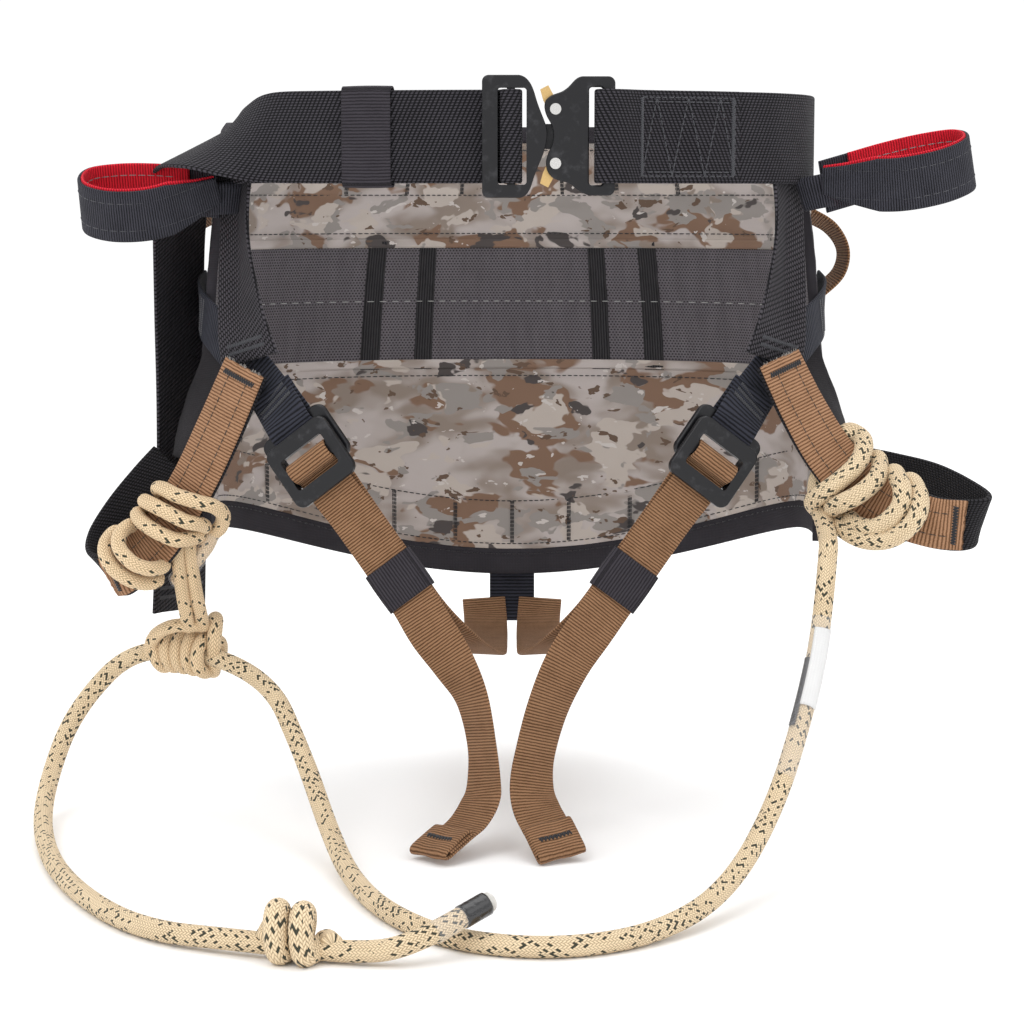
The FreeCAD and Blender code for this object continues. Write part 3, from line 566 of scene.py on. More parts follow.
def coarse(name, light, dark, pitch=2.3, column=1.35, shift=0.5, depth=0.6):
    """Heavy webbing: columns of slanting yarn knuckles along the strap. The dark colour is painted shade
    between the knuckles and the light one a painted highlight on their tops.
    """
    g = Graph(name, roughness=0.7, specular=0.14, sheen=0.03)
    u, v, _ = g.weave()
    index = g.floor(v / column)
    along = u + index * (pitch * shift)
    slanted = along + v * 0.45
    knuckle = g.wave(slanted, pitch)
    ridge = g.wave(v, column) ** 0.8
    height = knuckle * ridge
    fibre = g.noise(g.vector(u * 0.5, v * 3.0), 2.4, 2.0)
    patches = g.noise(g.vector(u, v), 0.06, 4.0)
    # Painted shade and highlight: the colour follows the knuckle height, with random fibre mottling.
    relief_shade_and_mottle = height * (0.65 + patches * 0.7) + (fibre - 0.5) * 0.35
    return g.finish(g.mix(g.ramp(relief_shade_and_mottle, 0.08, 0.95), dark, light), height, depth)


def braided(name, light, shade, fleck, period, rarity, pick=1.7, depth=0.35, carriers=24):
    """A braided sheath: every yarn floats over two others, and each period-th one is flecked. Shade is
    painted into the dips between yarns, on the flecks too.
    """
    g = Graph(name, roughness=0.75, specular=0.2, sheen=0.08)
    u, c, s = g.weave()
    turn = g.math("ARCTAN2", s, c) * (carriers / (2 * math.pi))
    along = u / pick
    heights, darks = [], []
    first, second = turn + along, turn - along
    total = g.floor(first) + g.floor(second)
    phase = g.math("FLOORED_MODULO", total, 4.0)
    block = g.floor(total / 4.0)
    patches = g.noise(g.vector(u / 7.0, c, s), 1.0, 2.0)
    for yarn, crossing, start in ((first, second, 0.0), (second, first, 2.0)):
        index = g.floor(yarn)
        place = g.math("FRACT", crossing) + (phase - start)
        length = 0.45 + g.wave(place, 2.0) * 0.55
        heights.append(g.wave(yarn, 1.0) ** 0.7 * length)
        cell = g.vector(index + start * 31.7, block)
        chance = g.node("ShaderNodeTexWhiteNoise", {"noise_dimensions": "2D"}, Vector=cell).outputs["Value"]
        marked = g.math("LESS_THAN", g.math("FLOORED_MODULO", index, float(period)), 0.5)
        often = g.math("GREATER_THAN", chance + patches, rarity)
        darks.append(marked * often)
    over = g.math("LESS_THAN", phase, 1.5)
    under = 1.0 - over
    height = over * heights[0] + under * heights[1]
    dark = over * darks[0] + under * darks[1]
    soil = g.noise(g.vector(u / 20.0, c, s), 1.0, 3.0)
    # Painted shade: low yarn gets the shade colour (half the fleck colour on flecked yarns) and raised yarn
    # the light one, mottled by the soil noise.
    relief_shade_and_mottle = g.ramp(height + (soil - 0.5) * 0.5, -0.1, 0.95)
    base = g.mix(relief_shade_and_mottle, shade, light)
    flecked = g.mix(relief_shade_and_mottle, tuple(x * 0.5 for x in fleck), fleck)
    return g.finish(g.mix(dark, base, flecked), height, depth)


def plain_cloth(name, colour, dark, pitch=0.7, depth=0.12, sheen=0.2):
    """Plain woven cloth, with shade painted where the threads dip."""
    g = Graph(name, roughness=0.8, specular=0.25, sheen=sheen)
    u, v, _ = g.weave()
    height = g.wave(u, pitch) * g.wave(v, pitch)
    patches = g.noise(g.vector(u, v), 0.05, 4.0)
    # Painted shade between the threads, plus random patches.
    relief_shade_and_mottle = height * 0.45 + patches * 0.6
    return g.finish(g.mix(relief_shade_and_mottle, dark, colour), height, depth)


def camouflage(name):
    """Printed cloth in soft patches of grey, tan, brown and charcoal."""
    g = Graph(name, roughness=0.78, specular=0.3, sheen=0.1)
    u, v, _ = g.weave()
    flat = g.vector(u * 0.62, v)
    warp = g.node("ShaderNodeTexNoise", Vector=flat, Scale=0.06, Detail=2.0).outputs["Color"]
    move = g.node("ShaderNodeVectorMath", {"operation": "MULTIPLY_ADD"})
    g.put(move.inputs[0], warp)
    move.inputs[1].default_value = (16.0, 9.0, 0.0)
    g.put(move.inputs[2], flat)
    spread = move.outputs[0]
    colour = g.mix(g.ramp(g.noise(spread, 0.04, 2.0), 0.38, 0.60), (0.31, 0.25, 0.21), (0.56, 0.50, 0.48))
    layers = (
        (0.034, 0.53, 0.56, (0.250, 0.150, 0.100), (7.0, 31.0)),
        (0.045, 0.56, 0.58, (0.58, 0.51, 0.46), (43.0, 5.0)),
        (0.055, 0.565, 0.58, (0.34, 0.31, 0.29), (91.0, 57.0)),
        (0.055, 0.625, 0.645, (0.085, 0.072, 0.070), (17.0, 77.0)),
        (0.120, 0.63, 0.645, (0.150, 0.095, 0.066), (61.0, 23.0)),
        (0.140, 0.65, 0.665, (0.68, 0.63, 0.60), (29.0, 91.0)),
    )
    for scale, low, high, tint, shift in layers:
        place = g.node("ShaderNodeVectorMath", {"operation": "ADD"})
        g.put(place.inputs[0], spread)
        place.inputs[1].default_value = (*shift, 0.0)
        mask = g.ramp(g.noise(place.outputs[0], scale, 3.0, 0.55), low, high)
        colour = g.mix(mask, colour, tint)
    height = g.wave(u, 0.55) * g.wave(v, 0.55)
    shade = 0.8 + height * 0.25
    colour = g.mix(1.0 - shade, colour, (0.02, 0.02, 0.02))
    return g.finish(colour, height, 0.10)


def spacer_mesh(name):
    """Charcoal spacer mesh: staggered rows of small holes, filled with near black as painted shade."""
    g = Graph(name, roughness=0.75, specular=0.3, sheen=0.1)
    u, v, _ = g.weave()
    row = g.floor(v / 1.5)
    shifted = u + row * 0.95
    hole = g.wave(shifted, 1.9) * g.wave(v, 1.5)
    open_share = g.ramp(hole, 0.45, 0.75)
    streaks = g.noise(g.vector(u * 0.3, v * 0.05), 0.5, 3.0)
    thread = g.mix(streaks, (0.085, 0.076, 0.086), (0.165, 0.148, 0.166))
    # Painted shade: near black in each hole for the shade inside it.
    colour = g.mix(open_share, thread, (0.022, 0.020, 0.023))
    return g.finish(colour, 1.0 - open_share, 0.45)


def coated_metal(name, colour, roughness=0.36):
    """Cast metal with a satin black finish, rubbed a little lighter in places."""
    g = Graph(name, roughness=roughness, metallic=0.55, specular=0.5, coat=0.12)
    place = g.place()
    grain = g.noise(place, 1.6, 4.0)
    rub = g.ramp(g.noise(place, 0.16, 4.0, 0.6), 0.52, 0.78)
    tint = g.mix(rub, colour, tuple(min(1, x * 2.2 + 0.012) for x in colour))
    rough = roughness - 0.06 + grain * 0.16
    return g.finish(tint, grain, 0.035, rough)


def bare_metal(name, colour, roughness):
    g = Graph(name, roughness=roughness, metallic=1.0)
    grain = g.noise(g.place(), 2.2, 4.0)
    tint = g.mix(grain, tuple(x * 0.72 for x in colour), colour)
    return g.finish(tint, grain, 0.03, roughness - 0.08 + grain * 0.2)


def film(name, colour, alpha):
    """Clear shrink film."""
    g = Graph(name, roughness=0.12, specular=0.6, coat=0.3)
    g.shader.inputs["Alpha"].default_value = alpha
    creases = g.noise(g.place(), 0.35, 3.0)
    return g.finish(g.mix(creases, tuple(x * 0.86 for x in colour), colour), creases, 0.5)


def thread(name, colour):
    g = Graph(name, roughness=0.6, specular=0.4, sheen=0.2)
    u, v, _ = g.weave()
    # Painted shade in the twist: the grooves go down to 0.55 of the colour.
    twist = g.wave(u + v * 0.35, 0.8)
    return g.finish(g.mix(twist, tuple(x * 0.55 for x in colour), colour), twist, 0.05)


# Where a cloth or cord below is given two colours, the first is for the lit tops of its yarns and the
# second is painted shade in its grooves.
BELT_CLOTH = coarse("belt_webbing", (0.056, 0.052, 0.062), (0.002, 0.002, 0.003), 2.2, 1.35, 0.0)
SIDE_CLOTH = coarse("side_webbing", (0.078, 0.071, 0.083), (0.004, 0.004, 0.005), 2.6, 1.3, 0.5)
LOOP_CLOTH = ribbed("loop_webbing", (0.052, 0.052, 0.066), (0.002, 0.002, 0.003), 1.25, 0.4, 0.8)
BRIDGE_CLOTH = coarse("bridge_webbing", (0.030, 0.028, 0.033), (0.002, 0.002, 0.002), 1.9, 1.2, 0.0)
HIP_CLOTH = ribbed("hip_webbing", (0.040, 0.042, 0.058), (0.002, 0.002, 0.003), 2.0)
BROWN_CLOTH = ribbed("brown_webbing", (0.345, 0.190, 0.102), (0.085, 0.036, 0.014), 1.5, 0.55, 0.75, 0.7)
SLEEVE_CLOTH = ribbed("sleeve_webbing", (0.430, 0.240, 0.138), (0.120, 0.054, 0.022), 1.65, 0.5, 0.75, 0.7)
ELASTIC_CLOTH = ribbed("elastic", (0.048, 0.043, 0.052), (0.012, 0.010, 0.013), 1.5, 0.3, 0.5)
RED_CLOTH = ribbed("red_webbing", (0.80, 0.022, 0.044), (0.26, 0.003, 0.010), 1.4, 0.4)
ROW_CLOTH = ribbed("row_webbing", (0.044, 0.042, 0.046), (0.006, 0.006, 0.007), 1.5, 0.35)
WING_CLOTH = plain_cloth("wing_cloth", (0.026, 0.023, 0.027), (0.007, 0.006, 0.007), 0.9, 0.15, 0.0)
BINDING_CLOTH = plain_cloth("binding_cloth", (0.046, 0.042, 0.051), (0.016, 0.014, 0.017), 0.9, 0.2, 0.0)
CAMOUFLAGE = camouflage("camouflage_cloth")
MESH_CLOTH = spacer_mesh("mesh_cloth")
ROPE_SHEATH = braided("rope_sheath", (0.87, 0.70, 0.47), (0.38, 0.26, 0.145), (0.052, 0.055, 0.038),
                      3, 1.12)
CORD_SHEATH = braided("cord_sheath", (0.88, 0.68, 0.44), (0.38, 0.25, 0.13), (0.050, 0.055, 0.038),
                      9, 1.06, 1.75, 0.36, 18)
BLACK_METAL = coated_metal("black_metal", (0.014, 0.014, 0.016))
BRASS = bare_metal("brass", (0.80, 0.55, 0.24), 0.38)
STEEL = bare_metal("steel", (0.78, 0.77, 0.75), 0.24)
CLEAR_FILM = film("clear_film", (0.90, 0.90, 0.92), 0.14)
BLACK_FILM = film("black_film", (0.012, 0.012, 0.014), 1.0)
LABEL_PAPER = plain_cloth("label_paper", (0.80, 0.80, 0.79), (0.66, 0.66, 0.66), 1.4, 0.02, 0.0)
WHITE_CORE = plain_cloth("rope_core", (0.80, 0.79, 0.76), (0.50, 0.48, 0.45), 0.8, 0.25, 0.0)
BLACK_THREAD = thread("black_thread", (0.016, 0.016, 0.020))
BELT_THREAD = thread("belt_thread", (0.055, 0.056, 0.066))
GREY_THREAD = thread("grey_thread", (0.30, 0.30, 0.31))
PALE_THREAD = thread("pale_thread", (0.42, 0.42, 0.41))
BROWN_THREAD = thread("brown_thread", (0.055, 0.036, 0.024))
FRAY = thread("frayed_end", (0.36, 0.33, 0.30))


# ---------------------------------------------------------------- camera, light and floor


CAMERA_PLACE = (0.0, -1.350, -0.030)
CAMERA_DIP = 7
CAMERA_LENS = 89.65
CAMERA_SENSOR = 36.0
FLOOR_HALF = 6.0
FLOOR_WHITE = (0.975, 0.975, 0.975)
WORLD_LIGHT = 1.05
LIGHTS_AIM = Vec((0, 0, -0.12))
# Name, place in metres, power in watts and width in metres.
LIGHTS = (
    ("key", (-0.9, -1.3, 1.5), 9, 0.9),
    ("fill", (1.2, -1.1, 0.9), 3, 1.2),
    ("top", (0.0, 0.3, 1.9), 12, 1.8),
    ("back", (0.3, 1.8, 0.9), 6, 1.6),
)


def stage():
    """The camera, the pale floor and soft studio light."""
    scene = bpy.context.scene
    camera = bpy.data.cameras.new("camera")
    camera.lens = CAMERA_LENS
    camera.sensor_width = CAMERA_SENSOR
    scene.camera = placed("camera", camera)
    scene.camera.location = CAMERA_PLACE
    scene.camera.rotation_euler = (math.radians(90 - CAMERA_DIP), 0, 0)
    mesh = bpy.data.meshes.new("floor")
    corners = [(x * FLOOR_HALF, y * FLOOR_HALF, FLOOR_LEVEL * MM)
               for x, y in ((-1, -1), (1, -1), (1, 1), (-1, 1))]
    mesh.from_pydata(corners, [], [(0, 1, 2, 3)])
    mesh.materials.append(Graph("floor", roughness=0.9, specular=0.1).finish(FLOOR_WHITE, None, 0))
    placed("floor", mesh)
    for name, place, power, width in LIGHTS:
        light = bpy.data.lights.new(name, "AREA")
        light.energy = power
        light.size = width
        lamp = placed(name, light)
        lamp.location = place
        lamp.rotation_euler = (LIGHTS_AIM - Vec(place)).to_track_quat("-Z", "Y").to_euler()
    scene.view_settings.view_transform = "Standard"
    scene.world = bpy.data.worlds.new("world")
    scene.world.use_nodes = True
    background = scene.world.node_tree.nodes["Background"]
    background.inputs[0].default_value = (1, 1, 1, 1)
    background.inputs[1].default_value = WORLD_LIGHT


# ---------------------------------------------------------------- rope

BRIDGE_ROPE = trace(
    (155, -112, -200), (151, -127, -236), (140, -150, -274), (122, -188, -313), (96, -236, -339),
    (62, -280, -345.2), (20, -302, -345.2), (-24, -290, -345.2), (-54, -250, -345.2), (-74, -196, -344.5),
    (-88, -140, -337), (-105, -88, -309), (-128, -46, -273), (-196, -14, -262), (-232, -20, -298),
    (-243, -48, -334), (-234, -112, -345.2), (-208, -196, -345.2), (-164, -272, -345.2),
    (-112, -297, -343), (-62, -309, -345.2), (-40, -310, -340), (-22, -297, -333),
)
STOPPER_MIDDLE = v3(-91, -302, -344.2)


def rope():
    """The rope bridge, with its stopper knot, sealed end and labelled sleeve."""
    path = nurbs_line("bridge_rope_path", BRIDGE_ROPE)
    line = Line(path, 1.0)
    tube = line.build("bridge_rope_sheath", ROPE_RADIUS, ROPE_SHEATH, replaces=["bridge_rope"], sides=24)
    pieces = [stopper_knot(line), *rope_end(line), *label_sleeve(line), *right_hitch(line)]
    line.points[0] * MM
    [p * MM for p in line.points]
    return line


def stopper_knot(line):
    """An overhand knot drawn round the rope: two fat turns side by side."""
    middle = nearest(line.points, line.at_length, STOPPER_MIDDLE)
    centre, along, _, _ = line.at(middle)
    front = unit(v3(0, -1, 0) - along * v3(0, -1, 0).dot(along))
    down = unit(along.cross(front))
    down = down if down.z < 0 else -down
    path = []
    for i in range(61):
        t = i / 60
        a = -2.5 + 2 * math.pi * 1.85 * t
        place = centre + UP * 4.2 + along * (-11 + 21 * t)
        path.append(place + front * (9.0 * math.cos(a)) + down * (10.4 * math.sin(a)))
    path = [line.at(middle - 14)[0] + UP * 2] + path + [line.at(middle + 15)[0] + UP * 2]
    for p in path:
        p.z = max(p.z, FLOOR_LEVEL + 5.3)
    knot = Line(smooth(path, 2), 0.9)
    return knot.build("stopper_knot_turns", 5.4, ROPE_SHEATH, replaces=["stopper_knot"])


def rope_end(line):
    """Clear film, then black film, and the white core in the cut end with its red marker."""
    start, along, _, _ = line.at(line.length)
    clear = Line([start - along * 14, start + along * 3])
    shown = clear.build("rope_end_film", ROPE_RADIUS + 0.35, CLEAR_FILM, round_ends=False)
    dark = Line([start + along * 1, start + along * 14])
    cap = dark.build("rope_end_shrink", ROPE_RADIUS + 0.5, BLACK_FILM, replaces=["rope_end_cap"],
                     round_ends=False)
    tip = start + along * 14
    core = Line([tip - along * 1, tip + along * 1.6]).build("rope_core", ROPE_RADIUS - 0.3, WHITE_CORE)
    mark = Line([tip + along * 1.0, tip + along * 4.0], 0.6)
    marker = mark.build("rope_core_marker", 1.2, RED_CLOTH, sides=10)
    return [shown, cap, core, marker]


def label_sleeve(line):
    """A clear sleeve with a blank white label and a black strip under it."""
    path = [line.at(SLEEVE_START + (SLEEVE_END - SLEEVE_START) * i / 20)[0] for i in range(21)]
    sleeve = Line(path).build("label_film", ROPE_RADIUS + 1.5, CLEAR_FILM, replaces=["rope_label_sleeve"],
                              round_ends=False)
    out = [sleeve]
    for name, material, first, last, low, high in (
        ("label_white", LABEL_PAPER, 42, 84, -0.1, 1.5),
        ("label_strip", BLACK_FILM, 58, 96, 1.5, 2.1),
    ):
        points, weave = [], []
        rings, columns = 24, 10
        for k in range(rings):
            u = first + (last - first) * k / (rings - 1)
            centre, _, normal, binormal = line.at(u)
            toward = math.atan2(v3(0.15, -1, 0.1).dot(binormal), v3(0.15, -1, 0.1).dot(normal))
            for side in (0, 1):
                for i in range(columns):
                    i = i if side == 0 else columns - 1 - i
                    a = toward - 0.7 + low + (high - low) * i / (columns - 1)
                    r = ROPE_RADIUS + 0.7 + 0.4 * side
                    points.append(centre + normal * (r * math.cos(a)) + binormal * (r * math.sin(a)))
                    weave.append((u, i, 0))
        out.append(add_mesh(name, points, rings_to_faces(rings, 2 * columns), material, weave))
    return out


# ---------------------------------------------------------------- seat panel


def wobble(angle, z, size, amount, seed=0.0):
    """A soft unevenness of the panel's cloth."""
    return amount * noise.noise(v3(angle / size, z / (size * 0.9), seed))


def shell(name, top, bottom, inner, thickness, material, first=PANEL_FIRST, last=PANEL_LAST,
          rows=24, columns=150, replaces=(), amount=1.0, pucker=(), edge=1.0):
    """Part of the panel between two heights, each a function of the angle."""
    arc = [0.0]
    for i in range(columns):
        a = body_point(first + (last - first) * i / columns, -120)
        b = body_point(first + (last - first) * (i + 1) / columns, -120)
        arc.append(arc[-1] + (b - a).length)
    points, weave = [], []
    for i in range(columns + 1):
        angle = first + (last - first) * i / columns
        high, low = top(angle), bottom(angle)
        ring = []
        for k in range(rows + 1):
            share = k / rows
            z = high + (low - high) * share
            fade = min(1.0, 6 * share, 6 * (1 - share))
            soft = wobble(angle, z, 9.0, amount) * fade + wobble(angle, z, 2.6, amount * 0.35, 5) * fade
            for line, depth, reach in pucker:
                near = math.exp(-(((z - line(angle)) / reach) ** 2))
                soft -= depth * near * (1 + 0.35 * math.sin(angle * 5.3))
            full = math.sqrt(min(1.0, 4 * share, 4 * (1 - share))) if edge else 1.0
            ring.append((z, soft, thickness * (1 - edge * 0.35 * (1 - full))))
        for z, soft, thick in ring:
            points.append(body_point(angle, z, inner + soft))
            weave.append((arc[i], z, 0))
        for z, soft, thick in ring[::-1]:
            points.append(body_point(angle, z, inner + soft + thick))
            weave.append((arc[i], z, 1))
    faces = rings_to_faces(columns + 1, 2 * (rows + 1))
    return add_mesh(name, points, faces, material, weave, (), "root", replaces)


def panel_run(points, stitch=3.2, gap=1.6):
    """Stitches on the panel along a path of (angle, z, offset, side) points."""
    out = []
    for (a0, z0, o0, side), (a1, z1, o1, _) in zip(points, points[1:]):
        start, end = body_point(a0, z0, o0), body_point(a1, z1, o1)
        total = (end - start).length
        count = max(1, round(total / (stitch + gap)))
        outward = unit(body_point((a0 + a1) / 2, z0, 20) - body_point((a0 + a1) / 2, z0, 0)) * side
        for i in range(count):
            a, b = (i + 0.2) / count, (i + 0.2 + stitch / (stitch + gap)) / count
            out.append((start.lerp(end, a), start.lerp(end, min(b, 1.0)), outward))
    return out


def across_panel(z, offset, side, first=PANEL_FIRST + 2, last=PANEL_LAST - 2, step=3.0):
    count = int((last - first) / step)
    angles = [first + (last - first) * i / count for i in range(count + 1)]
    return [(a, z(a) if callable(z) else z, offset, side) for a in angles]


def constant(z):
    return lambda angle: z


def panel_top(angle):
    """The height of the panel's top edge, whose corners are rounded off."""
    return PANEL_TOP - CORNER_DROP * max(0.0, (abs(angle - 90) - 86) / 13) ** 2


def seat_panel():
    upper_row, lower_row = (-3.0, -28.0), (18.0, 43.0)
    inner, outer = 0.5, 0.5 + PANEL_THICKNESS
    lower_lines = [lambda a, k=k: bottom_edge(a, k) for k in lower_row]
    pucker = [(constant(z), 0.5, 3.0) for z in upper_row]
    upper = shell("panel_upper_cloth", panel_top, constant(MESH_TOP), inner, PANEL_THICKNESS, CAMOUFLAGE,
                  replaces=["panel_upper"], pucker=pucker, amount=0.9)
    middle = shell("panel_mesh_cloth", constant(MESH_TOP + 0.4), constant(MESH_BOTTOM - 0.4), inner + 0.2,
                   3.0, MESH_CLOTH, replaces=["panel_mesh"], amount=0.8)
    lower = shell("panel_lower_cloth", constant(MESH_BOTTOM), lambda a: bottom_edge(a, BINDING_HEIGHT - 2),
                  inner, PANEL_THICKNESS, CAMOUFLAGE, rows=34, replaces=["panel_lower"], amount=1.3,
                  pucker=[(z, 0.6, 3.0) for z in lower_lines])
    shell("panel_binding_tape", lambda a: bottom_edge(a, BINDING_HEIGHT), lambda a: bottom_edge(a, 0.3),
          inner - 0.4, PANEL_THICKNESS + 0.8, BINDING_CLOTH, rows=6, replaces=["panel_binding"], amount=0.5)
    shell("panel_top_tape_cloth", lambda a: panel_top(a) + 2, lambda a: panel_top(a) - 7, inner - 0.3,
          PANEL_THICKNESS + 0.6, BINDING_CLOTH, rows=4, replaces=["panel_top_tape"], amount=0.4)
    for first, last, name in ((PANEL_FIRST - 0.3, PANEL_FIRST + 3.2, "right"),
                              (PANEL_LAST - 3.2, PANEL_LAST + 0.3, "left")):
        shell(f"panel_side_tape_{name}", lambda a: panel_top(a) - 4, lambda a: bottom_edge(a, 8),
              inner - 0.3, PANEL_THICKNESS + 0.7, BINDING_CLOTH, first, last, 60, 4, amount=0.3)
    for name, z in (("upper", MESH_TOP), ("lower", MESH_BOTTOM)):
        shell(f"seam_fold_{name}", constant(z + 3.4), constant(z - 1.6), inner - 0.5, 1.6, CAMOUFLAGE,
              rows=4, amount=0.4)
    for i, angle in enumerate((53, 66, 114, 127)):
        rib = shell(f"mesh_rib_{i}", constant(MESH_TOP + 2), constant(MESH_BOTTOM - 2), inner - 0.4,
                    RIB_THICKNESS, ROW_CLOTH, angle - RIB_HALF_ANGLE, angle + RIB_HALF_ANGLE, 20, 6,
                    amount=0.3)
    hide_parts("mesh_ribs")
    gap = outer + 0.7
    shell("gear_row_upper_webbing", constant(upper_row[0]), constant(upper_row[1]), gap, 1.6, ROW_CLOTH,
          24, 156, 8, replaces=["gear_row_upper"], amount=0.4)
    shell("gear_row_lower_webbing", lower_lines[1], lower_lines[0], gap, 1.6, ROW_CLOTH, 16, 164, 8,
          replaces=["gear_row_lower"], amount=0.4)
    inside = inner - 0.55
    dark = []
    for z in upper_row + (MESH_TOP + 6.5, MESH_BOTTOM - 6.0):
        dark += panel_run(across_panel(z, inside, -1), 2.6, 1.0)
    for line in lower_lines:
        dark += panel_run(across_panel(line, inside, -1), 2.6, 1.0)
    dark += panel_run(across_panel(lambda a: bottom_edge(a, BINDING_HEIGHT - 3), inner - 1.0, -1), 2.6, 1.2)
    for k in range(-4, 5):
        angle = 90 + k * 15.5
        for shift in (-0.35, 0.0, 0.35):
            for side, offset in ((-1, inside), (1, gap + 2.0)):
                at = angle + shift
                low, high = lower_lines[0](at), lower_lines[1](at)
                dark += panel_run([(at, low, offset, side), (at, high, offset, side)], 1.9, 0.3)
                if abs(k) <= 3:
                    dark += panel_run([(at, upper_row[1], offset, side), (at, upper_row[0], offset, side)],
                                      1.9, 0.3)
    for z in upper_row:
        dark += panel_run(across_panel(z - 1.5 if z > -10 else z + 1.5, gap + 2.0, 1, 25, 155), 2.6, 1.0)
    threads("panel_dark_stitches", dark, BLACK_THREAD, 0.3)
    pale = panel_run(across_panel(-88.0, inner - 0.75, -1), 3.0, 2.6)
    pale += panel_run(across_panel(-88.0, inner + 3.5, 1), 3.0, 2.6)
    threads("panel_pale_stitches", pale, PALE_THREAD, 0.26)


def crotch_tab():
    places = stations(
        (0, 127, -178, 0, 1, 0),
        (0, 128.6, -205, 0, 1, 0),
        (0, 129.2, -236, 0, 1, 0),
        (0, 128, -256, 0, 0.95, -0.2),
        (0, 124.5, -275, 0, 0.8, -0.6),
    )
    band = Band(places, TAB_WIDTH, STRAP_THICKNESS)
    band.build("crotch_tab_webbing", HIP_CLOTH, replaces=["crotch_tab"])
    runs = band.bartack(10, 11) + band.bartack(44, 11)
    box = [(12, -11), (42, -11), (42, 11), (12, 11), (12, -11), (42, 11), (12, 11), (42, -11)]
    threads("crotch_tab_stitches", runs + band.run(box), GREY_THREAD)


# ---------------------------------------------------------------- belt

HIP_ANGLES = [20, 8, -4, -14, -24, -32, -40, -48]
HIP_OFFSETS = [9.4, 9.4, 9.2, 8.0, 5.6, 3.2, 1.7, 1.4]


def across_from(points, normals):
    """Which way a strap lies across at each point, from its outward normals."""
    return [unit(t.cross(n)) for t, n in zip(tangents(points), normals)]


def mirrored(points, side):
    return [v3(p.x * side, p.y, p.z) for p in points]


def belt_side(side):
    return mirrored([body_point(a, 0, o) for a, o in zip(HIP_ANGLES, HIP_OFFSETS)], side)


def belt_fixed():
    turn = [(62, -93.5), (54, -98.2), (47, -101.9), (42.2, -102.6), (40.8, -105.8), (42.2, -109.0),
            (47.6, -110.1), (55.4, -105.5), (63, -98.6)]
    outer = [body_point(a, 0, 4.0) for a in (-50, -42, -34)]
    points = belt_side(1) + [v3(x, y, 0) for x, y in turn] + outer
    band = Band([(p, v3(1, 0, 0)) for p in points], BELT_WIDTH, BELT_THICKNESS,
                across=[UP.copy() for _ in points])
    band.build("belt_fixed_webbing", BELT_CLOTH, replaces=["belt_strap_fixed"], columns=18)
    end = band.length - 3
    face = -1 if band.out(end).y > 0 else 1
    half = BELT_WIDTH / 2 - 3.5
    start = end - 52
    runs = band.run([(start, half), (end, half), (end, -half), (start, -half), (start, half)], face)
    count = 6
    zigzag = [(start + (end - start) * i / count, half * (1 if i % 2 else -1)) for i in range(count + 1)]
    runs += band.run(zigzag, face)
    runs += band.run([(start + 3, half - 2), (end - 3, half - 2)], face)
    runs += band.run([(start + 3, 2 - half), (end - 3, 2 - half)], face)
    runs += band.bartack(end - 1.0, half, face) + band.bartack(start, half, face)
    threads("belt_fixed_stitches", runs, BELT_THREAD, 0.34)


def belt_adjustable():
    turn = [(-16, -97.3), (-8, -97.9), (-3, -99.6), (1, -101.5), (3.6, -103.4), (3.6, -106.2),
            (0.8, -108.2), (-2.4, -108.2), (-4.6, -106.6), (-4.9, -104.4), (-5.2, -102.6),
            (-6.6, -101.1), (-10, -100.4), (-18, -99.9)]
    inner = belt_side(-1) + [body_point(a, 0, 1.4) for a in (238, 250)]
    outer = [body_point(a, 0, 3.9) for a in (250, 240, 231)]
    free_end = [
        (v3(-96, -86.6, 0), UP.copy()),
        (v3(-118, -79.0, 0), v3(0.05, 0.15, 0.99)),
        (v3(-137, -70.0, -1), v3(0.25, 0.55, 0.80)),
        (v3(-152, -58.5, -3), v3(0.50, 0.72, 0.48)),
        (v3(-164, -39.0, -7), v3(0.62, 0.72, 0.30)),
        (v3(-170, -15.5, -19), v3(0.55, 0.83, 0.12)),
        (v3(-174.5, -3.0, -48), v3(0.48, 0.88, 0.04)),
        (v3(-176, 3.0, -90), v3(0.45, 0.89, 0)),
        (v3(-176, 5.0, -140), v3(0.45, 0.89, 0)),
        (v3(-177, 6.0, -195), v3(0.46, 0.88, 0)),
        (v3(-179, 5.0, -249), v3(0.50, 0.86, 0)),
    ]
    fixed = inner + [v3(x, y, 0) for x, y in turn] + outer
    points = fixed + [p for p, _ in free_end]
    across = [UP.copy() for _ in fixed] + [a for _, a in free_end]
    folded = [28, 28, 28, 25, 17, 8, 2]
    for p, less in zip(points, folded):
        p.z -= less / 2
    reach = lengths(points)

    def width(share):
        u = share * reach[-1]
        k = next((i for i in range(len(folded)) if u < reach[i + 1]), None)
        if k is None:
            return BELT_WIDTH
        t = (u - reach[k]) / (reach[k + 1] - reach[k])
        return BELT_WIDTH - folded[k] * (1 - t) - (folded[k + 1] if k + 1 < len(folded) else 0) * t

    band = Band([(p, v3(-1, 0, 0)) for p in points], width, BELT_THICKNESS, across=across)
    strap = band.build("belt_adjustable_webbing", BELT_CLOTH, None, ["belt_strap_adjustable"],
                       columns=18, ragged=0.25)
    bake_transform(strap)
    hem = band.bartack(band.length - 8, 19, 1) + band.bartack(band.length - 8, 19, -1)
    hem += band.bartack(band.length - 13, 19, 1) + band.bartack(band.length - 13, 19, -1)
    threads("belt_tail_stitches", hem, BELT_THREAD, 0.3)


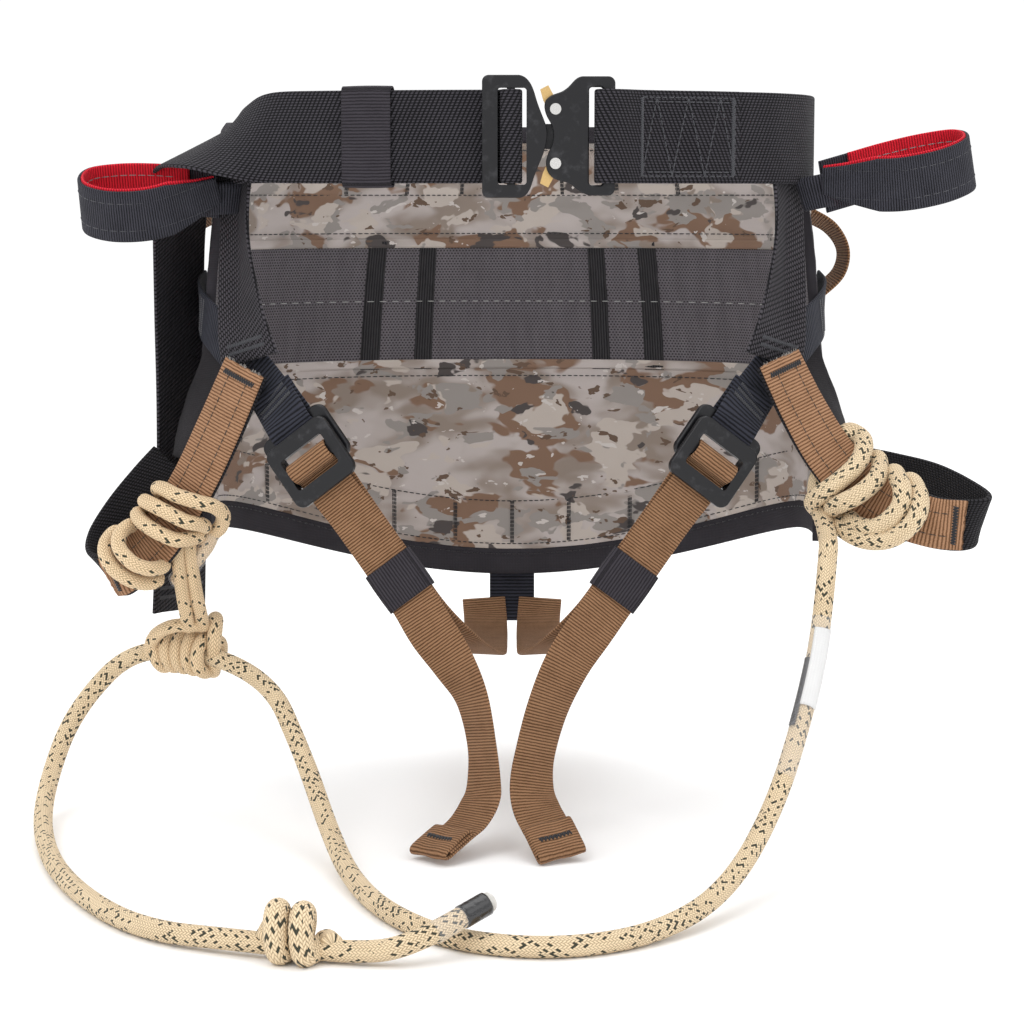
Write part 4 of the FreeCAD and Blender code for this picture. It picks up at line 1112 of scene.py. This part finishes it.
def keeper(name, centre, along, side, length, width, height, wall, body, node):
    """An elastic sleeve round a strap, with soft corners and slightly drawn-in edges."""
    along = unit(along)
    side = unit(side - along * side.dot(along))
    out = side.cross(along)
    outline, soft = [], min(width, height) / 2 * 0.9
    for cx, cz, first in ((1, 1, 0), (-1, 1, 90), (-1, -1, 180), (1, -1, 270)):
        for step in range(6):
            a = math.radians(first + 18 * step)
            outline.append((cx * (width / 2 - soft) + soft * math.cos(a),
                            cz * (height / 2 - soft) + soft * math.sin(a)))
    rings = 22
    points, weave = [], []
    for layer, extra in ((0, 0.0), (1, wall)):
        order = range(rings + 1) if layer == 0 else range(rings, -1, -1)
        for k in order:
            share = k / rings
            tuck = 0.5 * (1 - math.sin(math.pi * share)) if layer else 0
            place = centre + along * ((share - 0.5) * length)
            girth = 0
            for i, (x, z) in enumerate(outline):
                grow = 1 + (extra - tuck * 0.5) / math.hypot(x, z)
                points.append(place + side * (x * grow) + out * (z * grow))
                girth = x if abs(z) > height / 2 - 0.4 else z + 40
                weave.append((girth, share * length, layer))
    faces = rings_to_faces(2 * (rings + 1), len(outline), False)
    size = len(outline)
    last = (2 * rings + 1) * size
    faces += [(last + i, last + (i + 1) % size, (i + 1) % size, i) for i in range(size)]
    return add_mesh(name, points, faces, ELASTIC_CLOTH, weave, (), body, [node])


def belt_keeper():
    middle = body_point(232.5, 0, 2.65)
    ahead = body_point(236, 0, 2.65) - body_point(229, 0, 2.65)
    keeper("belt_keeper_elastic", middle, ahead, UP.copy(), 25.0, BELT_WIDTH + 2.0, KEEPER_HEIGHT, 1.3,
           "belt_keeper", "belt_keeper")


# ---------------------------------------------------------------- hips and loops


def side_strap(side, name):
    """Heavy webbing from inside the belt, folded along its length on the way to the junction."""
    places = stations(
        (138.1, -45.2, -8, 0.84, -0.54, 0),
        (139.5, -46.8, -30, 0.84, -0.54, 0),
        (139.5, -51.5, -52, 0.8, -0.6, 0),
        (138, -57.5, -75, 0.68, -0.73, 0),
        (135.5, -63.5, -95, 0.58, -0.81, 0),
        (132, -66.5, -111, 0.5, -0.86, 0),
    )
    places = list(zip(*(mirrored(column, side) for column in zip(*places))))

    def fold(share, v):
        deep = 5.5 * math.sin(math.pi * min(1.0, 0.08 + share * 0.92))
        return deep * (math.sqrt(0.02 + (v * side + 0.15) ** 2) - 0.75)

    band = Band(places, lambda share: 36 - 5 * math.sin(math.pi * share), BELT_THICKNESS, bend=fold)
    band.build(f"side_strap_webbing_{name}", SIDE_CLOTH, replaces=[f"side_strap_{name}"], columns=26)
    runs = band.bartack(band.length - 6, 12) + band.bartack(band.length - 10, 12)
    threads(f"side_strap_stitches_{name}", runs, BELT_THREAD, 0.3)


WING_ROWS = [
    (-92, (144.0, -35.4), (149.8, -30.7), (155.2, -27.3)),
    (-112, (135.2, -50.2), (148.8, -37.6), (160.4, -27.0)),
    (-138, (150.5, -48.5), (163.0, -36.5), (171.0, -20)),
    (-163, (168, -42), (173, -34), (176.5, -22)),
]


def hip_wing(side, name):
    """A gusset of black cloth with a bound outer edge."""
    fronts, middles, backs = (smooth([v3(*row[k], row[0]) for row in WING_ROWS], 8) for k in (1, 2, 3))
    points, weave = [], []
    columns = 12
    for front, middle, back in zip(fronts, middles, backs):
        out = unit(v3((back - front).y, -(back - front).x, 0))
        for face in (-1, 1):
            steps = range(columns + 1) if face < 0 else range(columns, -1, -1)
            for i in steps:
                t = i / columns
                p = front * ((1 - t) * (1 - 2 * t)) + middle * (4 * t * (1 - t)) + back * (t * (2 * t - 1))
                soft = 0.7 * noise.noise(p * 0.06) + 0.4 * noise.noise(p * 0.16)
                p = p + out * (face * (0.6 + 0.5 * (i in (0, columns))) + soft)
                points.append(v3(p.x * side, p.y, p.z))
                weave.append((t * 40, front.z, face))
    size = 2 * (columns + 1)
    faces = rings_to_faces(len(fronts), size)
    wing = add_mesh(f"hip_wing_cloth_{name}", points, faces, WING_CLOTH, weave, (), "root",
                    [f"hip_wing_{name}"])


def gear_loop(side, name):
    points = trace(
        (152.6, 37, -33), (157, 37, -37), (171.5, 37, -45), (179, 37, -57), (176.5, 37, -70),
        (164.5, 37, -81), (157.6, 37, -87),
    )
    band = Band([(p, v3(side, 0.2, 0)) for p in mirrored(points, side)], GEAR_LOOP_WIDTH, LEG_THICKNESS)
    band.build(f"gear_loop_webbing_{name}", BROWN_CLOTH, replaces=[f"gear_loop_{name}"])
    runs = band.bartack(3, 8) + band.bartack(band.length - 4, 8)
    threads(f"gear_loop_stitches_{name}", runs, BLACK_THREAD)


LEG_BUCKLE_ORIGIN = v3(97.0, -79.0, -160.0)
LEG_DOWN = v3(-0.56, -0.20, -0.80)
LEG_OUT = v3(0.30, -0.95, 0.0)
RING_D = -8.0


def leg_axes(side):
    down, out = mirrored([LEG_DOWN, LEG_OUT], side)
    down = unit(down)
    out = unit(out - down * out.dot(down))
    return down, out, unit(down.cross(out))


def leg_place(side, pairs):
    down, out, _ = leg_axes(side)
    origin, = mirrored([LEG_BUCKLE_ORIGIN], side)
    return [origin + down * d + out * n for d, n in pairs]


def hip_strap(side, name):
    lead = stations(
        (163, 24, -80, 1, 0.1, -0.1),
        (164, 2, -84, 1, -0.05, -0.1),
        (161, -20, -90, 0.93, -0.36, 0),
        (151, -42, -98, 0.78, -0.62, 0),
        (137.8, -57.5, -109, 0.56, -0.83, 0),
        (124, -67, -125, 0.42, -0.9, 0),
    )
    centre = RING_D - 12.0
    pairs = [(centre - 9, 5.4), (centre - 3, 6.6), (centre + 1, 6.6), (centre + 4.2, 5.3),
             (centre + 4.9, 3.2), (centre + 4.2, 0.8), (centre + 1, -0.4), (centre - 5, -0.4),
             (centre - 14, 0.4), (centre - 24, 0.2)]
    places = mirrored([p for p, _ in lead], side)
    across = across_from(places, mirrored([n for _, n in lead], side))
    cross = leg_axes(side)[2]
    cross = cross if across[-1].dot(cross) > 0 else -cross
    points = places + leg_place(side, pairs)
    across += [cross] * len(pairs)
    outward = v3(side, 0.1, 0)
    band = Band([(p, outward) for p in points], STRAP_WIDTH, STRAP_THICKNESS, across=across)
    band.build(f"hip_strap_webbing_{name}", HIP_CLOTH, replaces=[f"hip_strap_{name}"])
    near = nearest(band.centres, band.at_length, leg_place(side, [(centre - 9, 5.4)])[0])
    back = nearest(band.centres, band.at_length, places[2])
    runs = []
    for u in (near - 6, near - 9.5, near - 13, back - 3, back + 1, back + 5):
        runs += band.bartack(u, 10)
    threads(f"hip_strap_stitches_{name}", runs, BELT_THREAD, 0.28)


LOOP_OUTLINE = [(0, -9), (14, -14), (34, -19), (54, -18), (68, -10), (71.5, 1), (66, 11), (50, 14),
                (32, 12), (14, 7), (0, 3)]
LOOP_SIZE = {-1: 0.96, 1: 1.05}
LOOP_ROOT = {-1: v3(-148.5, -50, -28.5), 1: v3(158, -46, -25)}
LOOP_OUT = {-1: v3(-1, -0.10, -0.05), 1: v3(1, -0.06, 0.20)}
LOOP_DEPTH = {-1: v3(0, 0.90, 0.44), 1: v3(0, 0.95, 0.30)}


def lineman_loop(side, name):
    """The side loop, black outside and red inside, that swings at the hip."""
    outward = unit(LOOP_OUT[side])
    depth = unit(LOOP_DEPTH[side] - outward * LOOP_DEPTH[side].dot(outward))
    across = unit(outward.cross(depth)) * side
    points = [LOOP_ROOT[side] + outward * (a * LOOP_SIZE[side]) + depth * b for a, b in LOOP_OUTLINE]
    lift = across if across.z > 0 else -across
    for i, rise in enumerate((6.0, 3.2, 0.6)):
        points[i] += lift * rise + depth * (0.6 * rise)
    course = [(p, -depth) for p in points]
    body = f"lineman_{name}"

    def narrow(share):
        return LOOP_ROOT_WIDTH + (LOOP_WIDTH - LOOP_ROOT_WIDTH) * min(1.0, share / 0.17)

    outer = Band(course, narrow, STRAP_THICKNESS, across=[across.copy() for _ in points])
    outer.build(f"lineman_webbing_{name}", LOOP_CLOTH, body, [f"lineman_loop_{name}"])
    inward = -((STRAP_THICKNESS + LINING_THICKNESS) / 2 + 0.15)
    raised = [(p + lift * 0.9, n) for p, n in course]
    lining = Band(raised[:-1], lambda share: narrow(share) - 0.4, LINING_THICKNESS + 0.2, lift=inward,
                  across=[across.copy() for _ in points[:-1]])
    lining.build(f"lineman_lining_webbing_{name}", RED_CLOTH, body, [f"lineman_lining_{name}"])
    for band, margin, face, piece, thread_used, radius in (
        (lining, 8, -1, "lineman_lining_stitches", GREY_THREAD, 0.3),
        (outer, 6, 1, "lineman_stitches", BELT_THREAD, 0.24),
    ):
        runs = []
        for v in (7.5, -7.5):
            runs += band.run([(margin, v), (band.length - margin, v)], face, 3.6, 1.2)
        threads(f"{piece}_{name}", runs, thread_used, radius, body)
    root = LOOP_ROOT[side] + depth * -3
    ends = [root - outward * 11 + v3(0, 6, 0), root - outward * 5 + v3(0, 3, 0), root + v3(0, 2, 0),
            root + outward * 5 + v3(0, 2, 0)]
    tab = Band([(p, -depth) for p in ends], 18.0, 5.0, across=[across.copy() for _ in ends])
    piece = tab.build(f"lineman_root_{name}", LOOP_CLOTH, None)
    (root - outward * 4) * MM
    (root + outward * 5) * MM
    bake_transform(piece)


BRIDGE_NEAR = {
    -1: stations(
        (-133, -71.5, -114, -0.5, -0.86, 0),
        (-147.5, -69.5, -146, -0.42, -0.9, 0),
        (-162, -66, -175, -0.38, -0.92, 0.1),
        (-180.5, -60.5, -203, -0.35, -0.92, 0.15),
        (-197, -55.5, -217.5, -0.3, -0.93, 0.15),
    ),
    1: stations(
        (133, -71.5, -110, 0.5, -0.86, 0),
        (146, -75.5, -136, 0.42, -0.9, -0.1),
        (160.5, -83, -159, 0.35, -0.9, -0.2),
        (180, -95, -178, 0.3, -0.92, -0.25),
        (204, -105.5, -187, 0.15, -0.97, -0.15),
    ),
}
BRIDGE_TIP = {
    -1: stations(
        (-207, -50.5, -221.5, -0.8, -0.35, -0.5),
        (-212, -41, -216.5, -0.8, 0.5, -0.3),
    ),
    1: stations(
        (222, -108, -189, 0.45, -0.88, -0.1),
        (232, -101, -186, 0.97, 0.1, -0.2),
    ),
}
BRIDGE_FAR = {
    -1: stations(
        (-208.5, -31.5, -206, -0.3, 0.93, -0.1),
        (-199.5, -26.5, -192, -0.1, 0.97, 0),
        (-188, -23.5, -178, 0.1, 0.98, 0.1),
        (-178, -24, -167, 0.3, 0.9, 0.1),
    ),
    1: stations(
        (226, -88, -181, 0.75, 0.65, 0),
        (212.5, -70, -175, 0.7, 0.71, 0),
        (196, -51, -172, 0.68, 0.73, 0),
        (181, -36, -170, 0.66, 0.75, 0),
    ),
}


def bridge_loop(side, name):
    """The loop that carries the rope, and the brown sleeve sewn on its outer face."""
    near, tip, far = BRIDGE_NEAR[side], BRIDGE_TIP[side], BRIDGE_FAR[side]
    loop = Band(near + tip + far, STRAP_WIDTH + 1, BRIDGE_THICKNESS)
    loop.build(f"bridge_loop_webbing_{name}", BRIDGE_CLOTH, replaces=[f"bridge_loop_{name}"])
    lift = (BRIDGE_THICKNESS + LEG_THICKNESS) / 2 + 0.9
    sleeve = Band(near + tip[:1], STRAP_WIDTH, LEG_THICKNESS, lift=lift,
                  bend=lambda share, v: -1.1 * v * v)
    sleeve.build(f"bridge_sleeve_webbing_{name}", SLEEVE_CLOTH, replaces=[f"bridge_sleeve_{name}"],
                 columns=14, ragged=0.5)
    end = sleeve.length
    runs = []
    for v in (5.6, -5.6):
        runs += sleeve.run([(6, v), (end - 8, v)], 1, 3.4, 0.8)
    threads(f"bridge_sleeve_lines_{name}", runs, BROWN_THREAD, 0.24)
    tacks = sleeve.bartack(6, 9.5, 1, 3.0, 0.7) + sleeve.bartack(end - 5, 9.5, 1, 3.0, 0.7)
    threads(f"bridge_sleeve_tacks_{name}", tacks, BLACK_THREAD, 0.42)
    fray = []
    for _ in range(46):
        v = random.uniform(-11.5, 11.5)
        root = sleeve.at(0.5, v, random.uniform(-0.5, 0.5))
        way = v3(random.uniform(-0.8, 0.8), random.uniform(-0.8, 0.8), random.uniform(0.6, 2.2))
        fray.append((root, root + way, sleeve.out(0.5)))
    threads(f"bridge_sleeve_fray_{name}", fray, FRAY, 0.16)


# ---------------------------------------------------------------- legs

LEG_MAIN = stations(
    (16.5, 125.2, -262, 0, -0.75, 0.65),
    (15.5, 117, -272, 0, 0.3, -0.95),
    (15, 98, -278, 0, 0.1, -1),
    (15, 60, -277, 0, 0, -1),
    (15, 20, -273, 0, -0.05, -1),
    (15.5, -20, -268, 0.05, -0.3, -0.95),
    (19, -52, -262, 0.1, -0.6, -0.8),
    (28, -83, -252, 0.12, -0.85, -0.5),
    (42.7, -95.2, -236.3, 0.15, -0.96, -0.2),
)
LEG_TAIL = {
    -1: stations(
        (-40, -100, -243, -0.15, -0.98, -0.1),
        (-29, -103, -259, -0.45, -0.88, -0.1),
        (-20, -105.5, -276, -0.75, -0.65, 0),
        (-15, -108, -299, -0.82, -0.57, 0),
        (-14, -112, -317, -0.75, -0.62, 0.2),
        (-15.9, -117, -326, -0.62, -0.66, 0.42),
        (-21.2, -123.5, -334, -0.45, -0.45, 0.77),
        (-28, -130.5, -338.8, -0.3, -0.25, 0.92),
    ),
    1: stations(
        (39, -100.2, -242, 0.15, -0.98, -0.1),
        (27.5, -103, -259, 0.3, -0.95, -0.1),
        (18, -105.5, -280, 0.55, -0.84, 0),
        (11.5, -108.5, -303, 0.6, -0.8, 0),
        (9.8, -113, -318, 0.5, -0.82, 0.25),
        (12, -120.5, -328, 0.28, -0.76, 0.55),
        (17, -129.5, -336, 0.08, -0.5, 0.85),
    ),
}
KEEPER_D = 73.0


def leg_strap(side, name):
    """One brown strap: from the back under the leg, round the slider's bar, and down as the tail."""
    _, _, cross = leg_axes(side)
    pairs = [(66, -1.6), (40, -0.2), (20, -0.1), (6, -0.1), (0.5, 0.3), (-3.6, 3.0), (-4.6, 7),
             (-4.4, 10.6), (-2.6, 12.9), (0, 13.3), (2.6, 12.9), (4.4, 10.6), (5.6, 8.0), (9, 6.5),
             (14, 6.45), (21, 5.7), (30, 3.6), (42, 2.4), (66, 1.4), (84, 0.2)]
    main = mirrored([p for p, _ in LEG_MAIN], side)
    across = across_from(main, mirrored([n for _, n in LEG_MAIN], side))
    buckle = leg_place(side, pairs)
    cross = cross if cross.dot(across[-1]) > 0 else -cross
    tail = [p for p, _ in LEG_TAIL[side]]
    tail_across = across_from(tail, [n for _, n in LEG_TAIL[side]])
    points = main + buckle + tail
    across = across + [cross.copy() for _ in buckle] + tail_across
    band = Band([(p, v3(0, 0, 1)) for p in points], STRAP_WIDTH, LEG_THICKNESS, across=across, spacing=1.4)
    band.build(f"leg_strap_webbing_{name}", BROWN_CLOTH, replaces=[f"leg_strap_{name}"], columns=14)
    fold_end(side, name, tail, tail_across[-1])
    middle, ahead = leg_place(side, [(KEEPER_D, -0.6), (KEEPER_D + 10, -1.2)])
    keeper(f"leg_keeper_elastic_{name}", middle, ahead - middle, cross, 22.0, STRAP_WIDTH + 1.4,
           KEEPER_HEIGHT, 1.1, f"leg_keeper_{name}", f"leg_keeper_{name}")


def fold_end(side, name, tail, across):
    """The tail's end, rolled over twice on its upper face and tacked."""
    along = unit(tail[-1] - tail[-2])
    out = unit(across.cross(along))
    out = out if out.z > 0 else -out
    roll = [(-3, 0), (6, 0), (12, 0), (16.5, 0), (18.6, 0.7), (19.2, 1.9), (18.6, 3.1), (16, 3.7),
            (10, 3.8), (4, 3.8), (0.2, 3.5), (-0.9, 2.6), (0.1, 1.8), (4, 1.85), (9, 1.85), (15.5, 1.85)]
    points = [tail[-1] + along * s + out * (h + 0.2) for s, h in roll]
    band = Band([(p, -out) for p in points], STRAP_WIDTH, LEG_THICKNESS, spacing=0.9,
                across=[across.copy() for _ in points],
                bend=lambda share, v: 0.25 * math.sin(5 * v + 9 * share))
    band.build(f"leg_tail_fold_{name}", BROWN_CLOTH, replaces=[f"leg_tail_end_{name}"], columns=14)
    middle = tail[-1] + along * 9 + out * 4.0
    u = nearest(band.centres, band.at_length, middle)
    face = 1 if band.out(u).dot(out) > 0 else -1
    runs = band.bartack(u, 8.5, face, 2.6, 1.0) + band.bartack(u + 0.6, 8.5, face, 1.6, 1.2)
    threads(f"leg_tail_stitches_{name}", runs, BLACK_THREAD, 0.38)


# ---------------------------------------------------------------- hitches

LEFT_TURNS = {
    "top": trace(
        (-176.3, -50, -183.2), (-179.9, -62, -176.4), (-175.8, -70, -175.5), (-168.5, -76, -178.1),
        (-157.5, -76, -181.5), (-150.4, -72, -184.1), (-146.6, -66, -189.1), (-148.6, -60, -195.8),
        (-153.4, -56, -200.6), (-157.2, -54, -207.7), (-166.4, -50, -218.7), (-173, -47, -225.7),
    ),
    "second": trace(
        (-178.3, -50, -191.2), (-186.5, -60, -183.3), (-183.6, -69, -182.7), (-174.3, -76, -186.2),
        (-164.3, -76, -191.2), (-158.4, -70, -193.3), (-156.9, -62, -195.8), (-165.3, -52, -198.7),
    ),
    "third": trace(
        (-181.2, -48, -199.2), (-190.6, -57, -189.8), (-188.1, -67, -192.1), (-179.7, -74, -196.5),
        (-169.7, -74, -200.8), (-162.8, -68, -200.7), (-160.2, -60, -200.7), (-170.8, -50, -206.7),
    ),
    "fourth": trace(
        (-191.7, -46, -207), (-193.8, -56, -196), (-198.9, -64, -198.7), (-198.9, -70, -205.5),
        (-191.7, -74, -212.6), (-183.6, -72, -215.9), (-177.8, -64, -215.6), (-180.9, -52, -214.2),
    ),
    "fifth": trace(
        (-198.3, -44, -215.1), (-202.1, -52, -200.1), (-207, -58, -203.6), (-207, -64, -209.4),
        (-202.7, -68, -216), (-194.3, -69, -221.8), (-186.7, -64, -224.4), (-181.7, -57, -223.6),
        (-186.8, -47, -221.1),
    ),
}
STRANDS = {
    "a": trace(
        (-171.3, -59, -203), (-170.6, -57, -216.1), (-169.7, -50, -232.7), (-168.6, -37, -252),
    ),
    "b": trace(
        (-165.3, -58, -203), (-164.4, -55, -216.4), (-163, -48, -233.1), (-161.4, -34, -252),
    ),
}
HITCH_LEAD = trace(
    (-162, -33, -251.5), (-169, -38, -250.5), (-177, -38.5, -251), (-184, -35.5, -254.5),
    (-188.6, -31, -260), (-189.8, -26, -267), (-187.4, -17, -272),
)
HITCH_TALL = trace(
    (-158.8, -14, -277.8), (-157.4, -26, -276.5), (-156.2, -34, -267), (-155.6, -36, -259),
    (-155.2, -33, -252.5), (-155.6, -26, -249.5), (-157.5, -18, -251), (-159.5, -12, -256.5),
)
RIGHT_TURNS = {
    "first": trace(
        (164.7, -66, -162), (167.7, -74, -146.7), (174.7, -80, -148.7), (174.7, -88, -154.3),
        (170.3, -95, -160.6), (164.3, -98, -166), (158.2, -97, -171.1), (152.5, -93, -176.1),
        (150.3, -86, -180.4), (155.8, -78, -185.2), (163, -71, -183),
    ),
    "second": trace(
        (170.8, -70, -174), (181.3, -80, -159.6), (182.7, -88, -161.9), (180.9, -97, -166.1),
        (175.7, -103, -170.5), (169.4, -105, -174.8), (163.5, -102, -178.4), (159.2, -94, -182),
        (162.5, -82, -184.9),
    ),
    "third": trace(
        (182, -80, -177.3), (189.1, -88, -165.8), (190.4, -98, -166.8), (191.4, -107, -171.3),
        (190.2, -112, -178.3), (185.2, -113, -185), (178.8, -110, -189.8), (172.8, -104, -190.6),
        (168.1, -96, -188.5), (174.8, -86, -185.2),
    ),
    "fourth": trace(
        (188.7, -86, -179.2), (196.7, -93, -169.1), (199.6, -103, -173), (199.5, -112, -178.3),
        (196.4, -117, -185.2), (190.4, -116, -191.5), (183, -113, -195.6), (174.4, -108, -196.4),
        (167.5, -101, -194.3), (163.5, -94, -191), (166.1, -84, -187),
    ),
}
RIGHT_LEAD = trace(
    (161.7, -72, -161.5), (155.2, -76, -166.2), (152.8, -79, -174.5), (153.6, -84, -183),
    (155.2, -94, -190), (155.6, -104.5, -196),
)


def left_hitch(rope_line):
    """Turns of the thin cord on the left loop, its two strands, and the friction hitch on the rope."""
    r = CORD_RADIUS
    wound = []
    for i, (name, path) in enumerate(LEFT_TURNS.items()):
        turn = Line(smooth(path, 8), 0.8)
        piece = turn.build(f"cord_turn_{name}", r + 0.35, CORD_SHEATH, sides=18)
        wound.append(piece)
        if i == 0:
            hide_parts("cord_hitch_left")
    film = Line(smooth(LEFT_TURNS["top"][8:], 8), 0.8)
    wound.append(film.build("cord_splice_film", r + 1.6, CLEAR_FILM, sides=20))
    strands = {}
    for letter, path in STRANDS.items():
        line = Line(smooth(path, 12), 0.8)
        strand = line.build(f"cord_strand_cord_{letter}", r + 0.1, CORD_SHEATH, sides=18,
                            replaces=[f"cord_strand_{letter}"])
        strands[letter] = strand, line
    foot = nearest(rope_line.points, rope_line.at_length, (BRIDGE_ROPE[12] + BRIDGE_ROPE[13]) / 2)
    helix = around(rope_line, foot - 6, foot + 27, 5.0, ROPE_RADIUS + r + 0.5, 1.0)
    turns = Line(helix, 0.8).build("friction_hitch_turns", r + 0.15, CORD_SHEATH, sides=18,
                                   replaces=["friction_hitch"])
    lead = Line(smooth(HITCH_LEAD, 10), 0.8).build("friction_hitch_lead", r + 0.1, CORD_SHEATH, sides=18)
    tall = Line(smooth(HITCH_TALL, 10), 0.8).build("friction_hitch_tall", r + 0.4, CORD_SHEATH, sides=18)
    for letter, knots in (("a", wound), ("b", [turns, lead, tall])):
        strand, line = strands[letter]
        line.points[0] * MM
        [q * MM for q in line.points]


def right_hitch(rope_line):
    """Turns of the rope on the right loop, and the part that leads into the bridge."""
    r = ROPE_RADIUS
    out = []
    for name, path in RIGHT_TURNS.items():
        turn = Line(smooth(path, 8), 0.9)
        out.append(turn.build(f"rope_turn_{name}", r, ROPE_SHEATH, sides=22))
    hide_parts("rope_hitch_right")
    lead = RIGHT_LEAD + [rope_line.points[0], rope_line.points[6]]
    out.append(Line(smooth(lead, 8), 0.9).build("rope_lead", r - 0.02, ROPE_SHEATH, sides=22))
    return out


# ---------------------------------------------------------------- metal


def metal():
    """The buckles keep their CAD shapes, with softened edges and their own finishes."""
    finishes = {
        "buckle_male_frame": BLACK_METAL,
        "buckle_adjuster_bar": BLACK_METAL,
        "buckle_front_plate": BLACK_METAL,
        "buckle_back_plate": BLACK_METAL,
        "buckle_rivets": STEEL,
        "buckle_clip_top": BRASS,
        "buckle_clip_bottom": BRASS,
        "buckle_clip_springs": STEEL,
    }
    for side in ("left", "right"):
        finishes[f"leg_ring_{side}"] = BLACK_METAL
        finishes[f"leg_slider_{side}"] = BLACK_METAL
    for node, material in finishes.items():
        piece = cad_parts[node]
        piece.data.materials.clear()
        piece.data.materials.append(material)
        bevel = piece.modifiers.new("soft_edges", "BEVEL")
        bevel.width = 0.35 * MM
        bevel.segments = 2
        bevel.limit_method = "ANGLE"
        bevel.angle_limit = math.radians(35)


# ---------------------------------------------------------------- all of it

stage()
rope_line = rope()
metal()
seat_panel()
crotch_tab()
belt_fixed()
belt_adjustable()
belt_keeper()
for side, name in ((-1, "left"), (1, "right")):
    side_strap(side, name)
    hip_wing(side, name)
    gear_loop(side, name)
    hip_strap(side, name)
    lineman_loop(side, name)
    bridge_loop(side, name)
    leg_strap(side, name)
left_hitch(rope_line)
